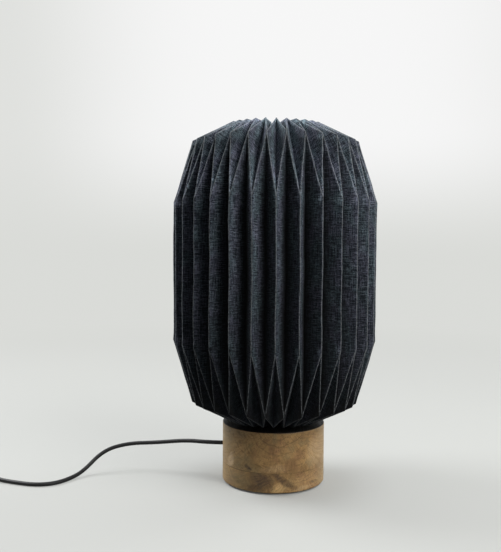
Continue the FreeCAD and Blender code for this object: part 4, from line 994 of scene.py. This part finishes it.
def along_x(low, high, way):
    """Lays what is spun up +Z along +X or -X, from that end of a box and on its middle line."""
    start = low.x if way > 0 else high.x
    place = Matrix.Translation((start, (low.y + high.y) / 2, (low.z + high.z) / 2))
    return place @ Matrix.Rotation(way * math.pi / 2, 4, "Y")


def make_felt(material):
    """The felt disc, with a soft frayed edge."""
    low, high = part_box("felt_pad")
    radius, thick = (high.x - low.x) / 2, high.z - low.z

    def fray(angle, height):
        around = (FELT_FRAY_WAVES * math.cos(angle), FELT_FRAY_WAVES * math.sin(angle), 0.0)
        return FELT_FRAY * noise.noise(around)

    edge = [(radius - thick / 2 * (1 - math.cos(turn)), thick / 2 * (1 + math.sin(turn)))
            for turn in np.linspace(-math.pi / 2, math.pi / 2, FELT_EDGE_ROWS)]
    profile = [(0.0, 0.0), (radius / 2, 0.0), *edge, (radius / 2, thick), (0.0, thick)]
    mesh = spun("felt_disc", profile, Matrix.Translation((0.0, 0.0, low.z)), fray, steps=FELT_STEPS)
    make_piece("felt_disc", mesh, material, "root", "felt_black", "felt_pad")


def make_relief(node, way, material):
    """A ribbed strain relief that tapers to the flex, with its tip towards +X or -X."""
    low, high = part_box(node)
    length, wide = high.x - low.x, (high.z - low.z) / 2
    tip = FLEX_RADIUS + RELIEF_WALL

    def ribs(angle, height):
        along = RELIEF_RIBS * (height - RELIEF_COLLAR) / (length - 2 * RELIEF_COLLAR)
        if not 0 < along < RELIEF_RIBS:
            return 0.0
        groove = math.sin(math.pi * (along % 1)) ** 2
        bridge = math.cos(angle + math.pi / 2 * (int(along) % 2)) ** RELIEF_BRIDGE_POWER
        return -RELIEF_GROOVE * min(1.0, RELIEF_GROOVE_SWELL * groove) * (1 - bridge)

    taper = [(wide + (tip - wide) * share, length * share)
             for share in np.linspace(0.0, 1.0, RELIEF_ROWS_PER_RIB * RELIEF_RIBS)]
    profile = [(0.0, 0.0), (wide - RELIEF_LIP, 0.0), *taper[1:-1], (tip - RELIEF_LIP, length), (0.0, length)]
    mesh = spun(f"{node}_ribbed", profile, along_x(low, high, way), ribs)
    make_piece(f"{node}_ribbed", mesh, material, "root", "moulding_black", node)


def make_plug_body(material):
    """The plug's moulded body: six sides with soft corners, a drawn-in waist and finger grips."""
    low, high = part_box("plug_body")
    length = high.x - low.x
    face = ((high.y - low.y) / 2, (high.z - low.z) / 2)

    def form(angle, height):
        share = height / length
        drawn = share - PLUG_WAIST_SHARE * math.sin(math.pi * share)
        wide, thick = (tail + (front - tail) * drawn for tail, front in zip(PLUG_TAIL, face))
        side, up = abs(math.sin(angle)) / wide, abs(math.cos(angle)) / thick
        slope = (1 - PLUG_FLAT_SHARE) * up
        walls = sum(max(wall, 0.0) ** PLUG_CORNER_POWER for wall in (up, side + slope, side - slope))
        reach = walls ** (-1 / PLUG_CORNER_POWER)
        along = (share - PLUG_GRIP_START_SHARE) / (PLUG_GRIP_END_SHARE - PLUG_GRIP_START_SHARE) * PLUG_GRIPS
        if 0 < along < PLUG_GRIPS:
            groove = PLUG_GRIP_DEPTH * math.sin(math.pi * (along % 1)) ** 2
            reach -= groove * math.sin(angle) ** PLUG_GRIP_POWER
        left = max(PLUG_EDGE - min(height, length - height), 0.0)
        return reach - (PLUG_EDGE - math.sqrt(PLUG_EDGE**2 - left**2)) - face[1]

    ends = np.linspace(0.0, PLUG_EDGE, PLUG_EDGE_ROWS)
    heights = [*ends, *np.linspace(PLUG_EDGE, length - PLUG_EDGE, PLUG_ROWS)[1:-1], *(length - ends[::-1])]
    profile = [(0.0, 0.0), *((face[1], height) for height in heights), (0.0, length)]
    mesh = spun("plug_body_moulded", profile, along_x(low, high, 1), form, steps=PLUG_STEPS)
    piece = make_piece("plug_body_moulded", mesh, material, "root", "moulding_black", "plug_body")
    piece.modifiers.new("flat_ends", "WEIGHTED_NORMAL")


def make_bulb_cap(material):
    """The bulb's cap with its rolled screw thread."""
    low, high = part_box("bulb_cap")
    radius, length = (high.x - low.x) / 2, high.z - low.z
    lead_in = radius - CAP_FOOT_RADIUS

    def thread(angle, height):
        fading = min(1.0, max(0.0, min(height - lead_in, length - CAP_PLAIN - height) / CAP_PITCH))
        return -CAP_GROOVE * fading * (0.5 - 0.5 * math.cos(2 * math.pi * height / CAP_PITCH - angle))

    wall = [(radius, height) for height in np.linspace(lead_in, length, CAP_ROWS)]
    profile = [(0.0, 0.0), (CAP_FOOT_RADIUS, 0.0), *wall, (0.0, length)]
    mesh = spun("bulb_screw_cap", profile, Matrix.Translation((0.0, 0.0, low.z)), thread, steps=CAP_STEPS)
    make_piece("bulb_screw_cap", mesh, material, "bulb", "cap_aluminium", "bulb_cap")


def make_strap(material):
    """The hook-and-loop strap round the coil, with its end lapped over on top."""
    low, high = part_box("coil_strap")
    half = STRAP_THICK / 2
    left, right, bottom, top = low.x + half, high.x - half, low.z + half, high.z - half
    path = [((left + right) / 2, top)]
    for centre_x, centre_z, first in ((right - STRAP_BEND, top - STRAP_BEND, math.pi / 2),
                                      (right - STRAP_BEND, bottom + STRAP_BEND, 0.0),
                                      (left + STRAP_BEND, bottom + STRAP_BEND, -math.pi / 2),
                                      (left + STRAP_BEND, top - STRAP_BEND, -math.pi)):
        for turn in np.linspace(first, first - math.pi / 2, STRAP_BEND_POINTS):
            path.append((centre_x + STRAP_BEND * math.cos(turn), centre_z + STRAP_BEND * math.sin(turn)))
    lap_start, lap_end = left + STRAP_BEND, right - 2 * STRAP_BEND
    for share in np.linspace(0.0, 1.0, STRAP_LAP_POINTS):
        lift = STRAP_LAP_LIFT * min(1.0, STRAP_LAP_SLOPE * share)
        along = (share + STRAP_LAP_START_SHARE) / (1 + STRAP_LAP_START_SHARE)
        path.append((lap_start + (lap_end - lap_start) * along, top + lift))
    points = [(x, y, z) for x, z in path for y in np.linspace(low.y, high.y, STRAP_COLUMNS)]
    starts = [row * STRAP_COLUMNS + column
              for row in range(len(path) - 1) for column in range(STRAP_COLUMNS - 1)]
    faces = [(start, start + 1, start + STRAP_COLUMNS + 1, start + STRAP_COLUMNS) for start in starts]
    mesh = bpy.data.meshes.new("strap_band")
    mesh.from_pydata(points, [], faces)
    thicken(make_piece("strap_band", mesh, material, "root", "strap_black", "coil_strap"), STRAP_THICK, 0.0)


def make_gather_thread(node, material):
    """Two plies of thread, twisted round each other, that run through the pleats."""
    low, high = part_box(node)
    thick = (high.z - low.z) / 2
    radius, level = (high.x - low.x) / 2 - thick, (low.z + high.z) / 2
    curve = round_curve(f"{node}_plies", PLY_RADIUS_SHARE * thick, PLY_BEVEL_STEPS)
    count = THREAD_TWISTS * THREAD_POINTS_PER_TWIST
    for start in (0.0, math.pi):
        points = []
        for number in range(count):
            angle = 2 * math.pi * number / count
            turn = start + THREAD_TWISTS * angle
            reach = radius + PLY_OFFSET_SHARE * thick * math.cos(turn)
            height = level + PLY_OFFSET_SHARE * thick * math.sin(turn)
            points.append((reach * math.cos(angle), reach * math.sin(angle), height))
        add_spline(curve, points, THREAD_STEPS_PER_POINT).use_cyclic_u = True
    make_piece(f"{node}_plies", curve, material, "root", "thread_black", node)


# The lamp

make_camera()
make_floor()
make_world()
for light in LIGHTS:
    make_light(*light)

flex_black = flex_cover()
make_flex("inner_flex", INNER_LEAD, flex_black, "inner_lead")
to_switch = make_flex("lamp_flex", (FLEX_EXIT, *FLEX_TO_SWITCH), flex_black, "flex_to_switch")
to_plug = make_flex("plug_flex", (SWITCH_OUTLET, *FLEX_TO_COIL, *coil_points(), *FLEX_TO_PLUG), flex_black,
                    "flex_to_coil", "flex_coil", "flex_to_plug")

make_shade(linen())
dress(wood("wood_upper", UPPER_PITH, UPPER_ARCS, UPPER_MARKS), "base_upper_block")
dress(wood("wood_lower", LOWER_PITH, LOWER_ARCS, LOWER_MARKS), "base_lower_block")

make_felt(fibrous("felt", BLACK, waves=2600.0, depth=0.0003))
dress(moulded("board", BOARD_BROWN, roughness=0.75, grain=BOARD_GRAIN_WAVES), "base_cover")
dress(metal("zinc_steel", ZINC, roughness=0.34), "cover_screws", "threaded_nipple", "nipple_washer",
      "nipple_nut", "switch_screws")
dress(metal("brass", BRASS, roughness=0.3), "centre_contact", "lampholder_shell", "switch_contacts")
aluminium = metal("aluminium", ALUMINIUM, roughness=0.32)
dress(aluminium, "bulb_tip")
make_bulb_cap(aluminium)
dress(metal("nickel", NICKEL, roughness=0.22), "plug_pins")
dress(moulded("holder_black", BLACK, roughness=0.42, specular_ior_level=0.35),
      "lampholder_cap", "lampholder_skirt", "shade_ring")
dress(moulded("holder_white", HOLDER_WHITE, roughness=0.5), "terminal_block")
dress(moulded("bulb_black", BLACK, roughness=0.35), "bulb_insulator")
dress(moulded("bulb_white", BULB_WHITE, roughness=0.45), "bulb_housing")
dress(moulded("bulb_opal", BULB_OPAL, roughness=0.35, transmission_weight=0.25), "bulb_globe")
moulding_black = moulded("moulding_black", DEEP_BLACK, roughness=0.5, specular_ior_level=0.28)
dress(moulding_black, "flex_bush", "flex_stop", "switch_lower_case", "switch_upper_case")
make_relief("switch_inlet_sleeve", 1, moulding_black)
make_relief("switch_outlet_sleeve", -1, moulding_black)
make_relief("plug_relief", -1, moulding_black)
make_plug_body(moulding_black)
dress(moulded("rocker_black", SOFT_BLACK, roughness=0.36, specular_ior_level=0.35), "switch_rocker")
make_strap(fibrous("strap_black", SOFT_BLACK, waves=1800.0, depth=0.0002))
thread_black = fibrous("thread_black", BLUE_BLACK, waves=3000.0, depth=0.0001)
make_gather_thread("lower_gather_thread", thread_black)
make_gather_thread("upper_gather_thread", thread_black)

scene.view_settings.view_transform = "Standard"
